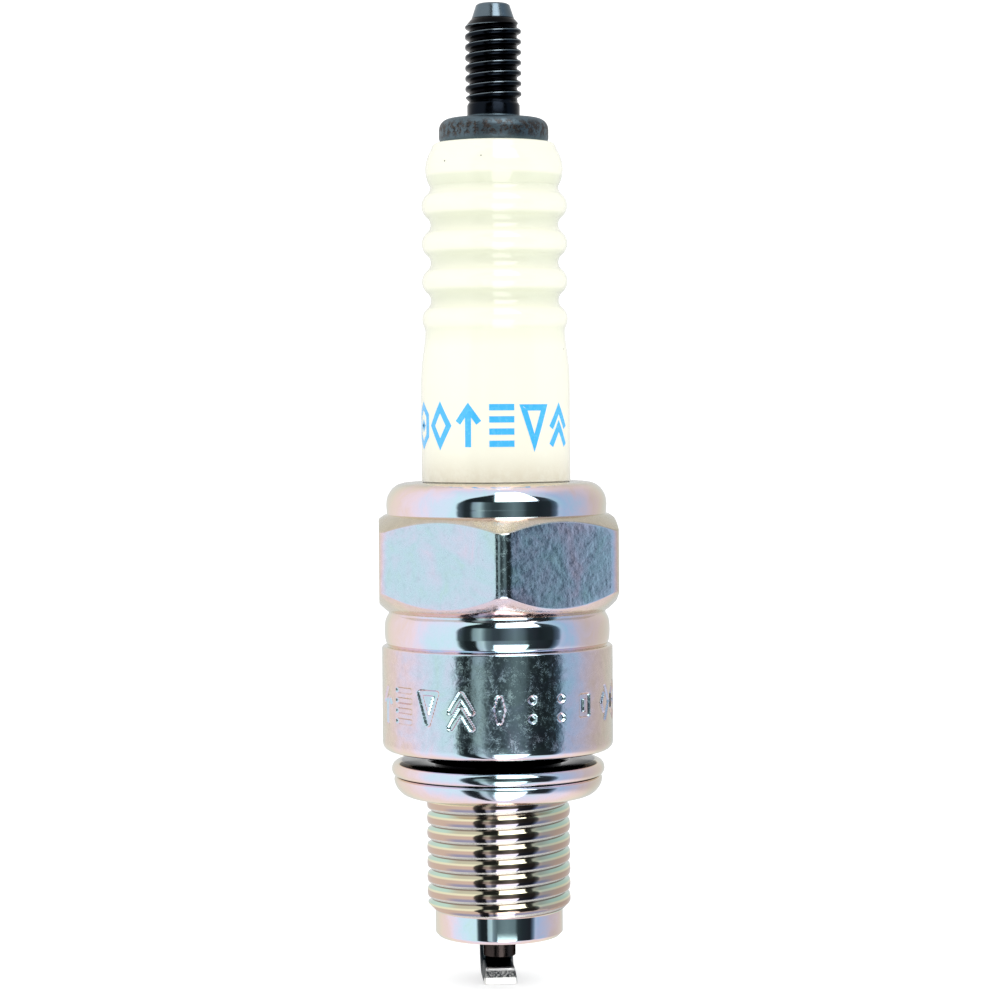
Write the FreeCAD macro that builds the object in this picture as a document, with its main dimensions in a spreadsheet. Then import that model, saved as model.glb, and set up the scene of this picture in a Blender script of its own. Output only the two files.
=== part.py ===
"""Motorcycle spark plug with an M10 x 1 thread and a resistor, one solid per piece.

Frame: Z runs along the plug, +Z towards the terminal.  The origin is on the axis, in the
plane of the shell's gasket seat.  +Y is the side that the ground electrode is welded on.
Every length is in millimetres.
"""
import FreeCAD, Part

import math
import os
import re

import Sketcher

# Driving dimensions: the alias of a cell, its value and what it measures.
DIMENSIONS = [
    # Terminal stud
    ("stud_top_z", 50.5, "end of the stud above the seat"),
    ("stud_end_radius", 1.12, "flat end of the lead-in cone"),
    ("stud_cone_radius", 1.46, "foot of the lead-in cone"),
    ("stud_cone_height", 1.1, "length of the lead-in cone"),
    ("terminal_radius", 1.95, "M4 thread, over the crests"),
    ("terminal_root_radius", 1.6, "M4 thread, in the roots"),
    ("terminal_pitch", 0.7, "M4 thread pitch"),
    ("terminal_foot_z", 43.8, "lower end of the M4 thread"),
    ("stud_neck_radius", 1.88, "plain neck under the M4 thread"),
    ("flange_radius", 3.7, "flange that rests on the insulator"),
    ("flange_edge", 0.75, "rounding of the flange's upper edge"),
    ("flange_thickness", 1.6, "flange thickness at its edge"),
    ("flange_dome", 0.1, "rise of the flange's top towards the neck"),
    ("shank_radius", 1.5, "shank inside the insulator"),
    ("shank_foot_z", 19.2, "where the shank steps down to its serrated foot"),
    ("serration_radius", 1.3, "serrated foot, over the teeth"),
    ("serration_depth", 0.2, "depth of one serration"),
    ("serration_pitch", 0.9, "distance between serrations"),
    ("serration_count", 4, "number of serrations"),
    ("stud_foot_z", 14.6, "lower end of the stud"),
    # Insulator
    ("insulator_top_z", 41.02, "face under the terminal flange"),
    ("top_face_radius", 3.85, "flat part of the top face"),
    ("shoulder_radius", 4.22, "foot of the rounding around the top face"),
    ("shoulder_drop", 0.4, "height of that rounding"),
    ("bead_radius", 4.66, "low bead under the top face"),
    ("bead_z", 39.4, "height of that bead"),
    ("bead_curve", 2.4, "radius of curvature of that bead's flank"),
    ("rib_count", 4, "number of ribs"),
    ("rib_pitch", 2.55, "distance between ribs"),
    ("rib_first_z", 29.15, "height of the lowest rib"),
    ("rib_radius", 4.93, "crest of a rib"),
    ("rib_root_radius", 4.33, "bottom of a valley"),
    ("rib_curve", 1.0, "radius of curvature of a crest"),
    ("dip_radius", 4.73, "dip between the lowest rib and the barrel"),
    ("dip_z", 28.3, "height of that dip"),
    ("barrel_radius", 5.05, "glazed barrel of the insulator"),
    ("glaze_foot_z", 18.2, "lower end of the glaze, just above the crimp"),
    ("ground_radius", 4.88, "ground part of the barrel, inside the shell"),
    ("barrel_top_z", 24.3, "where the barrel starts to taper"),
    ("taper_radius", 4.88, "end of the curved taper"),
    ("taper_z", 26.8, "height of the end of the curved taper"),
    ("barrel_foot_z", 11.4, "top of the waist's upper shoulder"),
    ("waist_radius", 5.85, "waist, the widest part"),
    ("waist_top_z", 10.4, "upper end of the waist"),
    ("waist_foot_z", 4.4, "lower end of the waist"),
    ("trunk_radius", 3.35, "trunk between the waist and the nose"),
    ("trunk_top_z", 2.4, "upper end of the trunk"),
    ("nose_base_radius", 2.4, "nose at its root"),
    ("nose_tip_radius", 1.75, "nose at the firing end"),
    ("nose_tip_z", -12.1, "firing end of the nose"),
    ("nose_edge", 0.3, "rounding of the nose's tip"),
    ("bore_radius", 1.6, "bore for the stud, the seals and the resistor"),
    ("bore_step_z", -2.0, "step that the centre electrode's head rests on"),
    ("nose_bore_radius", 1.15, "bore for the centre electrode"),
    # Sealed stack inside the insulator
    ("resistor_foot_z", 5.0, "lower end of the resistor"),
    ("resistor_top_z", 13.0, "upper end of the resistor"),
    # Centre electrode
    ("electrode_radius", 1.1, "centre electrode"),
    ("electrode_tip_z", -14.15, "firing face of the centre electrode"),
    ("head_radius", 1.5, "head of the centre electrode"),
    ("head_height", 1.2, "height of that head"),
    ("boss_radius", 0.95, "boss that anchors in the lower glass seal"),
    ("boss_height", 1.2, "height of that boss"),
    ("core_radius", 0.6, "copper core"),
    ("core_foot_z", -12.3, "lower end of the copper core"),
    # Metal shell
    ("reach", 12.7, "seat to the end of the thread"),
    ("mouth_radius", 3.2, "bore at the firing end"),
    ("pilot_radius", 4.34, "plain pilot at the firing end"),
    ("pilot_length", 1.75, "length of the pilot"),
    ("pilot_edge", 0.2, "chamfer at the firing end"),
    ("thread_radius", 4.93, "M10 thread, over the crests"),
    ("thread_root_radius", 4.35, "M10 thread, in the roots"),
    ("thread_pitch", 1.0, "M10 thread pitch"),
    ("thread_edge", 0.55, "length of the chamfer at each end of the thread"),
    ("neck_radius", 4.3, "relief neck under the seat"),
    ("neck_length", 1.4, "length of the relief neck"),
    ("body_radius", 7.84, "plain body above the seat"),
    ("body_edge", 0.55, "rounding of the body's lower edge"),
    ("body_top_z", 7.09, "top of the plain body"),
    ("body_top_edge", 0.15, "rounding of the body's upper edge"),
    ("groove_radius", 7.45, "corner between the body and the swelling"),
    ("swell_curve", 2.25, "radius of curvature of the buckled swelling"),
    ("undercut_radius", 7.33, "undercut below the hexagon"),
    ("undercut_z", 9.22, "height of that undercut"),
    ("hex_across_flats", 16.0, "hexagon across its flats"),
    ("hex_corner_radius", 9.05, "turned stock that rounds the hexagon's corners"),
    ("hex_foot_z", 10.2, "lower end of the full-size corners"),
    ("hex_top_z", 15.97, "top of the hexagon"),
    ("hex_chamfer", 0.6, "drop of the upper chamfer at a corner"),
    ("hex_edge_curve", 3.0, "radius of curvature of both rounded chamfers"),
    ("hex_turn", 2.5, "angle of one corner from -Y, in degrees"),
    ("collar_radius", 7.47, "collar above the hexagon"),
    ("collar_curve", 1.3, "rounding of the crimped collar"),
    ("collar_top_z", 18.16, "top of the crimped collar"),
    ("lip_radius", 4.98, "crimped lip around the insulator"),
    ("lip_drop", 0.97, "height of the lip's inner edge"),
    ("lip_curve", 0.97, "curve of the crimp over the upper packing ring"),
    ("chamber_radius", 5.95, "bore around the waist"),
    ("chamber_foot_z", 4.0, "lower end of that bore"),
    ("throat_radius", 3.45, "bore around the trunk"),
    ("throat_top_z", 2.0, "upper end of that bore"),
    ("ledge_radius", 2.75, "ledge that carries the packing washer"),
    ("ledge_z", -4.2, "inner edge of that ledge's seat"),
    ("ledge_height", 0.8, "height of that ledge's inner wall"),
    ("seat_slope", 0.577, "rise over run of the seat, thirty degrees"),
    # Packings between the insulator and the shell
    ("washer_thickness", 0.3, "packing washer, along the axis"),
    ("washer_gap", 0.05, "play beside the packing washer"),
    ("ring_radius", 5.5, "middle of a wire packing ring"),
    ("ring_wire_radius", 0.35, "wire of a packing ring"),
    ("lower_ring_z", 11.42, "height of the lower packing ring"),
    ("upper_ring_z", 16.55, "height of the upper packing ring"),
    # Ground electrode
    ("strap_thickness", 1.2, "ground electrode, between its broad faces"),
    ("strap_width", 2.4, "ground electrode, broad outer face"),
    ("strap_inner_width", 1.9, "ground electrode, narrow inner face"),
    ("strap_outer_y", 4.12, "outer face of the leg from the axis"),
    ("strap_bend", 1.6, "bend of the ground electrode, at mid-thickness"),
    ("spark_gap", 0.7, "gap between the electrodes"),
    ("strap_overhang", 1.2, "free end past the axis"),
    ("strap_turn", 3.5, "turn of the ground electrode about the axis, in degrees"),
    # Gasket, hanging loose on the relief neck
    ("gasket_drop", 0.72, "play between the gasket and the seat"),
    ("gasket_thickness", 2.4, "folded gasket, not yet crushed"),
    ("gasket_crown_radius", 6.6, "outer edge of the gasket's top face"),
    ("gasket_foot_radius", 6.1, "outer edge of the gasket's bottom face"),
    ("gasket_seam_radius", 6.95, "bottom of the seam between the two folds"),
    ("gasket_seam_depth", 1.05, "seam below the top face"),
    ("upper_fold_curve", 0.56, "rounding of the upper fold"),
    ("lower_fold_curve", 0.99, "rounding of the lower fold"),
    ("gasket_bore_radius", 5.1, "bore of the lower fold"),
    ("gasket_grip_radius", 4.62, "inner fold that the thread holds back"),
    ("gasket_grip_foot", 0.95, "foot of that inner fold below the top face"),
    ("gasket_edge", 0.25, "bevels of that inner fold"),
]
CREST_FRACTION = 0.125  # width of a thread's crest over its pitch
FLANK_SLOPE = math.tan(math.radians(30))  # half of a 60 degree thread angle
CUT_OVERLAP = 0.15  # how far a cutting profile reaches outside the stock

doc = FreeCAD.newDocument("spark_plug")
sheet = doc.addObject("Spreadsheet::Sheet", "dims")
pieces = []


# ---- Spreadsheet and formulas --------------------------------------------------------

def fill_sheet():
    """Write one row for each driving dimension: its meaning, its value and its alias."""
    for row, (alias, value, meaning) in enumerate(DIMENSIONS, start=1):
        sheet.set(f"A{row}", meaning)
        sheet.set(f"B{row}", str(value))
        sheet.setAlias(f"B{row}", alias)
    doc.recompute()


def formula(text):
    """Point every dimension named in a formula at its cell."""
    names = {alias for alias, _, _ in DIMENSIONS}
    return re.sub(r"[a-z_]+", lambda m: f"dims.{m[0]}" if m[0] in names else m[0], text)


def number(text):
    """Value of a formula, as a plain number."""
    return float(sheet.evalExpression(formula(text)))


def bind(obj, prop, text):
    """Drive one property of an object by a formula."""
    obj.setExpression(prop, formula(text))


# ---- Sketches ------------------------------------------------------------------------

def new_body(name):
    """Start a piece that is made of sketches and features."""
    body = doc.addObject("PartDesign::Body", name)
    body.Label = name
    pieces.append(body)
    return body


def new_sketch(body, name, plane="XZ_Plane"):
    """Put an empty sketch on one of the body's origin planes."""
    sketch = body.newObject("Sketcher::SketchObject", name)
    origin_plane = next(f for f in body.Origin.OriginFeatures if f.Role == plane)
    sketch.AttachmentSupport = [(origin_plane, "")]
    sketch.MapMode = "FlatFace"
    return sketch


def place_point(sketch, edge, end, x_text, y_text):
    """Dimension one end of an edge from the sketch's origin."""
    for kind, text in (("DistanceX", x_text), ("DistanceY", y_text)):
        rule = Sketcher.Constraint(kind, -1, 1, edge, end, number(text))
        index = sketch.addConstraint(rule)
        sketch.setExpression(f"Constraints[{index}]", formula(text))


def arc_between(start, end, radius, convex):
    """Minor arc from start to end.  A convex arc has its centre on the left."""
    chord = end - start
    middle = (start + end) * 0.5
    left = FreeCAD.Vector(-chord.y, chord.x, 0).normalize()
    offset = math.sqrt(max(radius**2 - (chord.Length / 2) ** 2, 0.0))
    centre = middle + left * (offset if convex else -offset)
    first, last = (start, end) if convex else (end, start)
    circle = Part.Circle(centre, FreeCAD.Vector(0, 0, 1), radius)
    return Part.ArcOfCircle(circle, circle.parameter(first), circle.parameter(last))


def draw_outline(sketch, outline):
    """Draw a closed outline, listed anticlockwise, and dimension every corner.

    A corner is (x, y), and the edge to the next corner is straight.  In (x, y, side,
    radius) that edge is an arc, "round" where the piece bulges and "hollow" where it
    is scooped out.
    """
    spots = [FreeCAD.Vector(number(c[0]), number(c[1]), 0) for c in outline]
    starts_and_ends = []
    for index, corner in enumerate(outline):
        here = spots[index]
        there = spots[(index + 1) % len(spots)]
        if len(corner) == 2:
            sketch.addGeometry(Part.LineSegment(here, there), False)
            starts_and_ends.append((1, 2))
            continue
        convex = corner[2] == "round"
        sketch.addGeometry(arc_between(here, there, number(corner[3]), convex), False)
        starts_and_ends.append((1, 2) if convex else (2, 1))
    for index, corner in enumerate(outline):
        after = (index + 1) % len(outline)
        joint = (index, starts_and_ends[index][1], after, starts_and_ends[after][0])
        sketch.addConstraint(Sketcher.Constraint("Coincident", *joint))
        place_point(sketch, index, starts_and_ends[index][0], corner[0], corner[1])
        if len(corner) == 4:
            rule = Sketcher.Constraint("Radius", index, number(corner[3]))
            radius_index = sketch.addConstraint(rule)
            sketch.setExpression(f"Constraints[{radius_index}]", formula(corner[3]))


def turn(body, outline):
    """Turn a half section, given as radius and height, about the Z axis."""
    sketch = new_sketch(body, f"{body.Name}_section")
    draw_outline(sketch, outline)
    feature = body.newObject("PartDesign::Revolution", f"{body.Name}_turned")
    feature.Profile = sketch
    feature.ReferenceAxis = (sketch, ["V_Axis"])
    feature.Angle = 360
    body.Tip = feature
    doc.recompute()
    return feature


def cut_thread(body, crest, root, pitch, start_z, turns):
    """Cut a right-hand 60 degree thread downwards from start_z, a V groove per turn."""
    outside = f"({crest} + {CUT_OVERLAP})"
    at_crest = f"({pitch} * {(1 - CREST_FRACTION) / 2})"
    at_outside = f"({at_crest} + {CUT_OVERLAP * FLANK_SLOPE})"
    at_root = f"({at_crest} - ({crest} - {root}) * {FLANK_SLOPE})"
    sketch = new_sketch(body, f"{body.Name}_thread_groove")
    draw_outline(sketch, [
        (root, f"{start_z} - {at_root}"),
        (outside, f"{start_z} - {at_outside}"),
        (outside, f"{start_z} + {at_outside}"),
        (root, f"{start_z} + {at_root}"),
    ])
    doc.recompute()
    before = body.Shape.Volume
    feature = body.newObject("PartDesign::SubtractiveHelix", f"{body.Name}_thread")
    feature.Profile = sketch
    feature.ReferenceAxis = (sketch, ["V_Axis"])
    feature.Mode = "pitch-turns-angle"
    feature.Reversed = True
    feature.LeftHanded = False
    bind(feature, "Pitch", pitch)
    bind(feature, "Turns", turns)
    body.Tip = feature
    doc.recompute()
    require(feature.Shape.Volume < before, f"the thread of {body.Name} cut nothing")


def require(condition, message):
    """Stop the build with a plain message."""
    if not condition:
        raise RuntimeError(message)


# ---- Terminal and insulator ----------------------------------------------------------

def make_terminal_stud():
    """Steel stud: M4 end, flange on the insulator and a serrated foot in the glass."""
    body = new_body("terminal_stud")
    cone_foot = "(stud_top_z - stud_cone_height)"
    edge_break = "(stud_end_radius - 0.08)"
    flange_top = "(insulator_top_z + flange_thickness)"
    turn(body, [
        ("0", "stud_foot_z"),
        ("serration_radius", "stud_foot_z"),
        ("serration_radius", "shank_foot_z"),
        ("shank_radius", "shank_foot_z"),
        ("shank_radius", "insulator_top_z"),
        ("flange_radius", "insulator_top_z"),
        ("flange_radius", f"{flange_top} - flange_edge", "round", "flange_edge"),
        ("flange_radius - flange_edge", flange_top),
        ("stud_neck_radius", f"{flange_top} + flange_dome"),
        ("stud_neck_radius", "terminal_foot_z"),
        ("terminal_radius", "terminal_foot_z + 0.07"),
        ("terminal_radius", f"{cone_foot} - (terminal_radius - stud_cone_radius)"),
        ("stud_cone_radius", cone_foot),
        ("stud_end_radius", "stud_top_z - 0.08"),
        (edge_break, "stud_top_z"),
        ("0", "stud_top_z"),
    ])
    cut_serrations(body)
    turns = "(stud_top_z - terminal_foot_z - 0.4) / terminal_pitch"
    cut_thread(body, "terminal_radius", "terminal_root_radius", "terminal_pitch",
               "stud_top_z", turns)


def cut_serrations(body):
    """Ring grooves around the stud's foot, which key it into the upper glass seal."""
    first_z = "(stud_foot_z + serration_pitch)"
    sketch = new_sketch(body, "serration_section")
    draw_outline(sketch, [
        ("serration_radius - serration_depth", first_z),
        ("serration_radius + 0.05", f"{first_z} - serration_depth - 0.05"),
        ("serration_radius + 0.05", f"{first_z} + serration_depth + 0.05"),
    ])
    before = body.Shape.Volume
    groove = body.newObject("PartDesign::Groove", "serration")
    groove.Profile = sketch
    groove.ReferenceAxis = (sketch, ["V_Axis"])
    groove.Angle = 360
    body.Tip = groove
    doc.recompute()
    require(groove.Shape.Volume < before, "the serration cut nothing")
    row = body.newObject("PartDesign::LinearPattern", "serrations")
    row.Originals = [groove]
    row.Direction = (sketch, ["V_Axis"])
    bind(row, "Length", "serration_pitch * (serration_count - 1)")
    bind(row, "Occurrences", "serration_count")
    body.Tip = row
    doc.recompute()
    require(row.Shape.Volume < groove.Shape.Volume, "the serrations were not repeated")


def rib_outline():
    """Ribs and the valleys between them, as arcs that meet in a common tangent."""
    depth = "(rib_radius - rib_root_radius)"
    curves = f"(((rib_pitch / 2)^2 + {depth}^2) / (2 * {depth}))"
    valley_curve = f"({curves} - rib_curve)"
    flank_rise = f"(rib_pitch / 2 * rib_curve / {curves})"
    flank_radius = f"(rib_radius - {depth} * rib_curve / {curves})"
    corners = []
    for index in range(int(number("rib_count"))):
        crest_z = f"(rib_first_z + {index} * rib_pitch)"
        if index:
            corners.append((flank_radius, f"{crest_z} - {flank_rise}", "round", "rib_curve"))
        corners.append((flank_radius, f"{crest_z} + {flank_rise}", "hollow", valley_curve))
    return corners


def top_bead_outline():
    """Low bead and rounded shoulder between the last rib and the top face."""
    valley_z = "(rib_first_z + (rib_count - 0.5) * rib_pitch)"
    rise = f"(bead_z - {valley_z})"
    depth = "(bead_radius - rib_root_radius)"
    curves = f"(({rise}^2 + {depth}^2) / (2 * {depth}))"
    return [
        ("rib_root_radius", valley_z, "hollow", f"{curves} - bead_curve"),
        (f"bead_radius - {depth} * bead_curve / {curves}",
         f"bead_z - {rise} * bead_curve / {curves}", "round", "bead_curve"),
        ("shoulder_radius", "insulator_top_z - shoulder_drop", "round", "shoulder_drop"),
        ("top_face_radius", "insulator_top_z"),
    ]


def make_insulator():
    """Alumina insulator: nose, trunk, waist, barrel, ribs and the stepped bore."""
    body = new_body("insulator")
    shoulder_z = "(ledge_z + washer_thickness)"
    dip_rise = "(rib_first_z - dip_z)"
    dip_depth = "(rib_radius - dip_radius)"
    dip_curves = f"(({dip_rise}^2 + {dip_depth}^2) / (2 * {dip_depth}))"
    taper_rise = "(taper_z - barrel_top_z)"
    taper_depth = "(barrel_radius - taper_radius)"
    turn(body, [
        ("nose_bore_radius", "nose_tip_z"),
        ("nose_tip_radius - nose_edge", "nose_tip_z", "round", "nose_edge"),
        ("nose_tip_radius", "nose_tip_z + nose_edge"),
        ("nose_base_radius", f"{shoulder_z} - (ledge_radius - nose_base_radius) * seat_slope"),
        ("trunk_radius", f"{shoulder_z} + (trunk_radius - ledge_radius) * seat_slope"),
        ("trunk_radius", "trunk_top_z"),
        ("waist_radius", "waist_foot_z"),
        ("waist_radius", "waist_top_z"),
        ("ground_radius", "barrel_foot_z"),
        ("ground_radius", "glaze_foot_z"),
        ("barrel_radius", "glaze_foot_z"),
        ("barrel_radius", "barrel_top_z", "round",
         f"({taper_rise}^2 + {taper_depth}^2) / (2 * {taper_depth})"),
        ("taper_radius", "taper_z"),
        ("dip_radius", "dip_z", "hollow", f"{dip_curves} - rib_curve"),
        (f"rib_radius - {dip_depth} * rib_curve / {dip_curves}",
         f"rib_first_z - {dip_rise} * rib_curve / {dip_curves}", "round", "rib_curve"),
        *rib_outline(),
        *top_bead_outline(),
        ("bore_radius", "insulator_top_z"),
        ("bore_radius", "bore_step_z"),
        ("nose_bore_radius", "bore_step_z"),
    ])


# ---- Sealed stack inside the insulator -----------------------------------------------

def new_cylinder(name, radius, foot_z, top_z):
    """Plain cylinder on the Z axis."""
    cylinder = doc.addObject("Part::Cylinder", name)
    bind(cylinder, "Radius", radius)
    bind(cylinder, "Height", f"{top_z} - ({foot_z})")
    bind(cylinder, "Placement.Base.z", foot_z)
    return cylinder


def make_resistor():
    """Carbon and glass resistor that fills the bore between the two glass seals."""
    resistor = new_cylinder("resistor", "bore_radius", "resistor_foot_z", "resistor_top_z")
    resistor.Label = "resistor"
    pieces.append(resistor)


def make_upper_glass_seal():
    """Conductive glass that has flowed around the serrated foot of the stud."""
    fill = new_cylinder("upper_glass_fill", "bore_radius", "resistor_top_z", "shank_foot_z")
    seal = doc.addObject("Part::Cut", "upper_glass_seal")
    seal.Label = "upper_glass_seal"
    seal.Base = fill
    seal.Tool = doc.getObject("terminal_stud")
    pieces.append(seal)


def make_lower_glass_seal():
    """Conductive glass between the centre electrode's boss and the resistor."""
    boss_top = "(bore_step_z + head_height + boss_height)"
    turn(new_body("lower_glass_seal"), [
        ("boss_radius", "bore_step_z + head_height"),
        ("bore_radius", "bore_step_z + head_height"),
        ("bore_radius", "resistor_foot_z"),
        ("0", "resistor_foot_z"),
        ("0", boss_top),
        ("boss_radius", boss_top),
    ])


def make_center_electrode():
    """Nickel sheath with a head and a boss, open at the top for its copper core."""
    head_top = "(bore_step_z + head_height)"
    boss_top = f"({head_top} + boss_height)"
    turn(new_body("center_electrode"), [
        ("0", "electrode_tip_z"),
        ("electrode_radius", "electrode_tip_z"),
        ("electrode_radius", "bore_step_z"),
        ("head_radius", "bore_step_z"),
        ("head_radius", head_top),
        ("boss_radius", head_top),
        ("boss_radius", boss_top),
        ("core_radius", boss_top),
        ("core_radius", "core_foot_z"),
        ("0", "core_foot_z"),
    ])


def make_center_electrode_core():
    """Copper core that carries heat away from the electrode's tip."""
    boss_top = "(bore_step_z + head_height + boss_height)"
    core = new_cylinder("center_electrode_core", "core_radius", "core_foot_z", boss_top)
    core.Label = "center_electrode_core"
    pieces.append(core)


# ---- Metal shell ---------------------------------------------------------------------

def make_metal_shell():
    """Steel shell: firing end, M10 thread, seat, body, hexagon, crimped collar, bore."""
    body = new_body("metal_shell")
    pilot_top = "(pilot_length - reach)"
    collar_foot = "(collar_top_z - collar_curve)"
    lip_foot = "(collar_top_z - lip_drop)"
    ledge_outer_z = "(ledge_z + (throat_radius - ledge_radius) * seat_slope)"
    turn(body, [
        ("mouth_radius", "-reach"),
        ("pilot_radius - pilot_edge", "-reach"),
        ("pilot_radius", "pilot_edge - reach"),
        ("pilot_radius", pilot_top),
        ("thread_radius", f"{pilot_top} + thread_edge"),
        ("thread_radius", "-neck_length - thread_edge"),
        ("neck_radius", "-neck_length"),
        ("neck_radius", "0"),
        ("body_radius - body_edge", "0", "round", "body_edge"),
        ("body_radius", "body_edge"),
        ("body_radius", "body_top_z - body_top_edge", "round", "body_top_edge"),
        ("body_radius - body_top_edge", "body_top_z"),
        ("groove_radius", "body_top_z", "round", "swell_curve"),
        ("undercut_radius", "undercut_z", "round", "hex_edge_curve"),
        ("hex_corner_radius", "hex_foot_z"),
        ("hex_corner_radius", "hex_top_z - hex_chamfer", "round", "hex_edge_curve"),
        ("hex_across_flats / 2", "hex_top_z"),
        ("collar_radius", "hex_top_z"),
        ("collar_radius", collar_foot, "round", "collar_curve"),
        ("collar_radius - collar_curve", "collar_top_z"),
        ("lip_radius", "collar_top_z"),
        ("lip_radius", lip_foot, "hollow", "lip_curve"),
        ("chamber_radius", f"{lip_foot} - lip_curve"),
        ("chamber_radius", "chamber_foot_z"),
        ("throat_radius", "throat_top_z"),
        ("throat_radius", ledge_outer_z),
        ("ledge_radius", "ledge_z"),
        ("ledge_radius", "ledge_z - ledge_height"),
        ("mouth_radius", "ledge_z - ledge_height - (mouth_radius - ledge_radius)"),
    ])
    cut_hexagon(body)
    cut_thread(body, "thread_radius", "thread_root_radius", "thread_pitch",
               "-thread_pitch", "(reach - pilot_length) / thread_pitch")


def cut_hexagon(body):
    """Mill the six flats: remove all stock between the hexagon and a wide circle."""
    sketch = new_sketch(body, "hexagon", "XY_Plane")
    corner_distance = "(hex_across_flats / 2 / cos(30deg))"
    corners = []
    for index in range(6):
        angle = f"({60 * index - 90} * 1deg + hex_turn * 1deg)"
        x_text = f"{corner_distance} * cos({angle})"
        y_text = f"{corner_distance} * sin({angle})"
        corners.append((x_text, y_text))
    draw_outline(sketch, corners)
    stock = Part.Circle(FreeCAD.Vector(0, 0, 0), FreeCAD.Vector(0, 0, 1), 1)
    circle = sketch.addGeometry(stock, False)
    sketch.addConstraint(Sketcher.Constraint("Coincident", circle, 3, -1, 1))
    size = sketch.addConstraint(Sketcher.Constraint("Radius", circle, 10.0))
    sketch.setExpression(f"Constraints[{size}]", formula("hex_corner_radius + 1"))
    before = body.Shape.Volume
    pocket = body.newObject("PartDesign::Pocket", "hexagon_flats")
    pocket.Profile = sketch
    pocket.Midplane = True
    bind(pocket, "Length", "2 * stud_top_z")
    body.Tip = pocket
    doc.recompute()
    require(pocket.Shape.Volume < before, "the hexagon cut nothing")


# ---- Packings between the insulator and the shell ------------------------------------

def make_packing_washer():
    """Thin conical steel washer between the shell's ledge and the insulator."""
    inner = "(ledge_radius + washer_gap)"
    outer = "(throat_radius - washer_gap)"
    inner_z = f"(ledge_z + ({inner} - ledge_radius) * seat_slope)"
    outer_z = f"(ledge_z + ({outer} - ledge_radius) * seat_slope)"
    turn(new_body("packing_washer"), [
        (inner, inner_z),
        (outer, outer_z),
        (outer, f"{outer_z} + washer_thickness"),
        (inner, f"{inner_z} + washer_thickness"),
    ])


def make_packing_ring(name, height):
    """Steel wire ring around the insulator, at one end of the talc."""
    ring = doc.addObject("Part::Torus", name)
    ring.Label = name
    bind(ring, "Radius1", "ring_radius")
    bind(ring, "Radius2", "ring_wire_radius")
    bind(ring, "Placement.Base.z", height)
    pieces.append(ring)


def make_talc_ring():
    """Talc powder, pressed solid between the two wire rings."""
    foot = "(lower_ring_z + ring_wire_radius)"
    top = "(upper_ring_z - ring_wire_radius)"
    turn(new_body("talc_ring"), [
        ("ground_radius", foot),
        ("chamber_radius", foot),
        ("chamber_radius", top),
        ("ground_radius", top),
    ])


# ---- Ground electrode and gasket -----------------------------------------------------

def make_ground_electrode():
    """Nickel strap: a leg welded to the shell's end face, a bend and a free end."""
    body = new_body("ground_electrode")
    leg_y = "(strap_outer_y - strap_thickness / 2)"
    mid_z = "(electrode_tip_z - spark_gap - strap_thickness / 2)"
    section = new_sketch(body, "strap_section", "XY_Plane")
    bind(section, "AttachmentOffset.Base.z", "-reach")
    draw_outline(section, [
        ("-strap_inner_width / 2", "strap_outer_y - strap_thickness"),
        ("strap_inner_width / 2", "strap_outer_y - strap_thickness"),
        ("strap_width / 2", "strap_outer_y"),
        ("-strap_width / 2", "strap_outer_y"),
    ])
    path = new_sketch(body, "strap_path", "YZ_Plane")
    leg_end = f"({mid_z} + strap_bend)"
    bend_end = f"({leg_y} - strap_bend)"
    draw_path(path, leg_y, leg_end, bend_end, mid_z)
    doc.recompute()
    pipe = body.newObject("PartDesign::AdditivePipe", "strap")
    pipe.Profile = section
    pipe.Spine = (path, ["Edge1", "Edge2", "Edge3"])
    body.Tip = pipe
    body.Placement.Rotation = FreeCAD.Rotation(FreeCAD.Vector(0, 0, 1), 1)
    bind(body, "Placement.Rotation.Angle", "strap_turn")
    doc.recompute()


def draw_path(sketch, leg_y, leg_end, bend_end, mid_z):
    """Middle line of the strap: down the leg, round the bend, out to the free end."""
    points = [(leg_y, "-reach"), (leg_y, leg_end), (bend_end, mid_z),
              ("-strap_overhang", mid_z)]
    spots = [FreeCAD.Vector(number(y), number(z), 0) for y, z in points]
    sketch.addGeometry(Part.LineSegment(spots[0], spots[1]), False)
    bend = arc_between(spots[1], spots[2], number("strap_bend"), False)
    sketch.addGeometry(bend, False)
    sketch.addGeometry(Part.LineSegment(spots[2], spots[3]), False)
    sketch.addConstraint(Sketcher.Constraint("Coincident", 0, 2, 1, 2))
    sketch.addConstraint(Sketcher.Constraint("Coincident", 1, 1, 2, 1))
    ends = [(0, 1), (0, 2), (2, 1), (2, 2)]
    for (edge, end), (y_text, z_text) in zip(ends, points):
        place_point(sketch, edge, end, y_text, z_text)
    rule = sketch.addConstraint(Sketcher.Constraint("Radius", 1, number("strap_bend")))
    sketch.setExpression(f"Constraints[{rule}]", formula("strap_bend"))


def make_gasket():
    """Folded steel gasket, loose on the neck and held back by the top of the thread."""
    top = "(-gasket_drop)"
    foot = f"({top} - gasket_thickness)"
    seam = f"({top} - gasket_seam_depth)"
    grip_foot = f"({top} - gasket_grip_foot)"
    turn(new_body("gasket"), [
        ("gasket_bore_radius", foot),
        ("gasket_foot_radius", foot, "round", "lower_fold_curve"),
        ("gasket_seam_radius", seam, "round", "upper_fold_curve"),
        ("gasket_crown_radius", top),
        ("gasket_grip_radius + gasket_edge", top),
        ("gasket_grip_radius", f"{top} - gasket_edge"),
        ("gasket_grip_radius", grip_foot),
        ("gasket_bore_radius", f"{grip_foot} - gasket_edge"),
    ])


# ---- Build, check and write ----------------------------------------------------------

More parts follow.
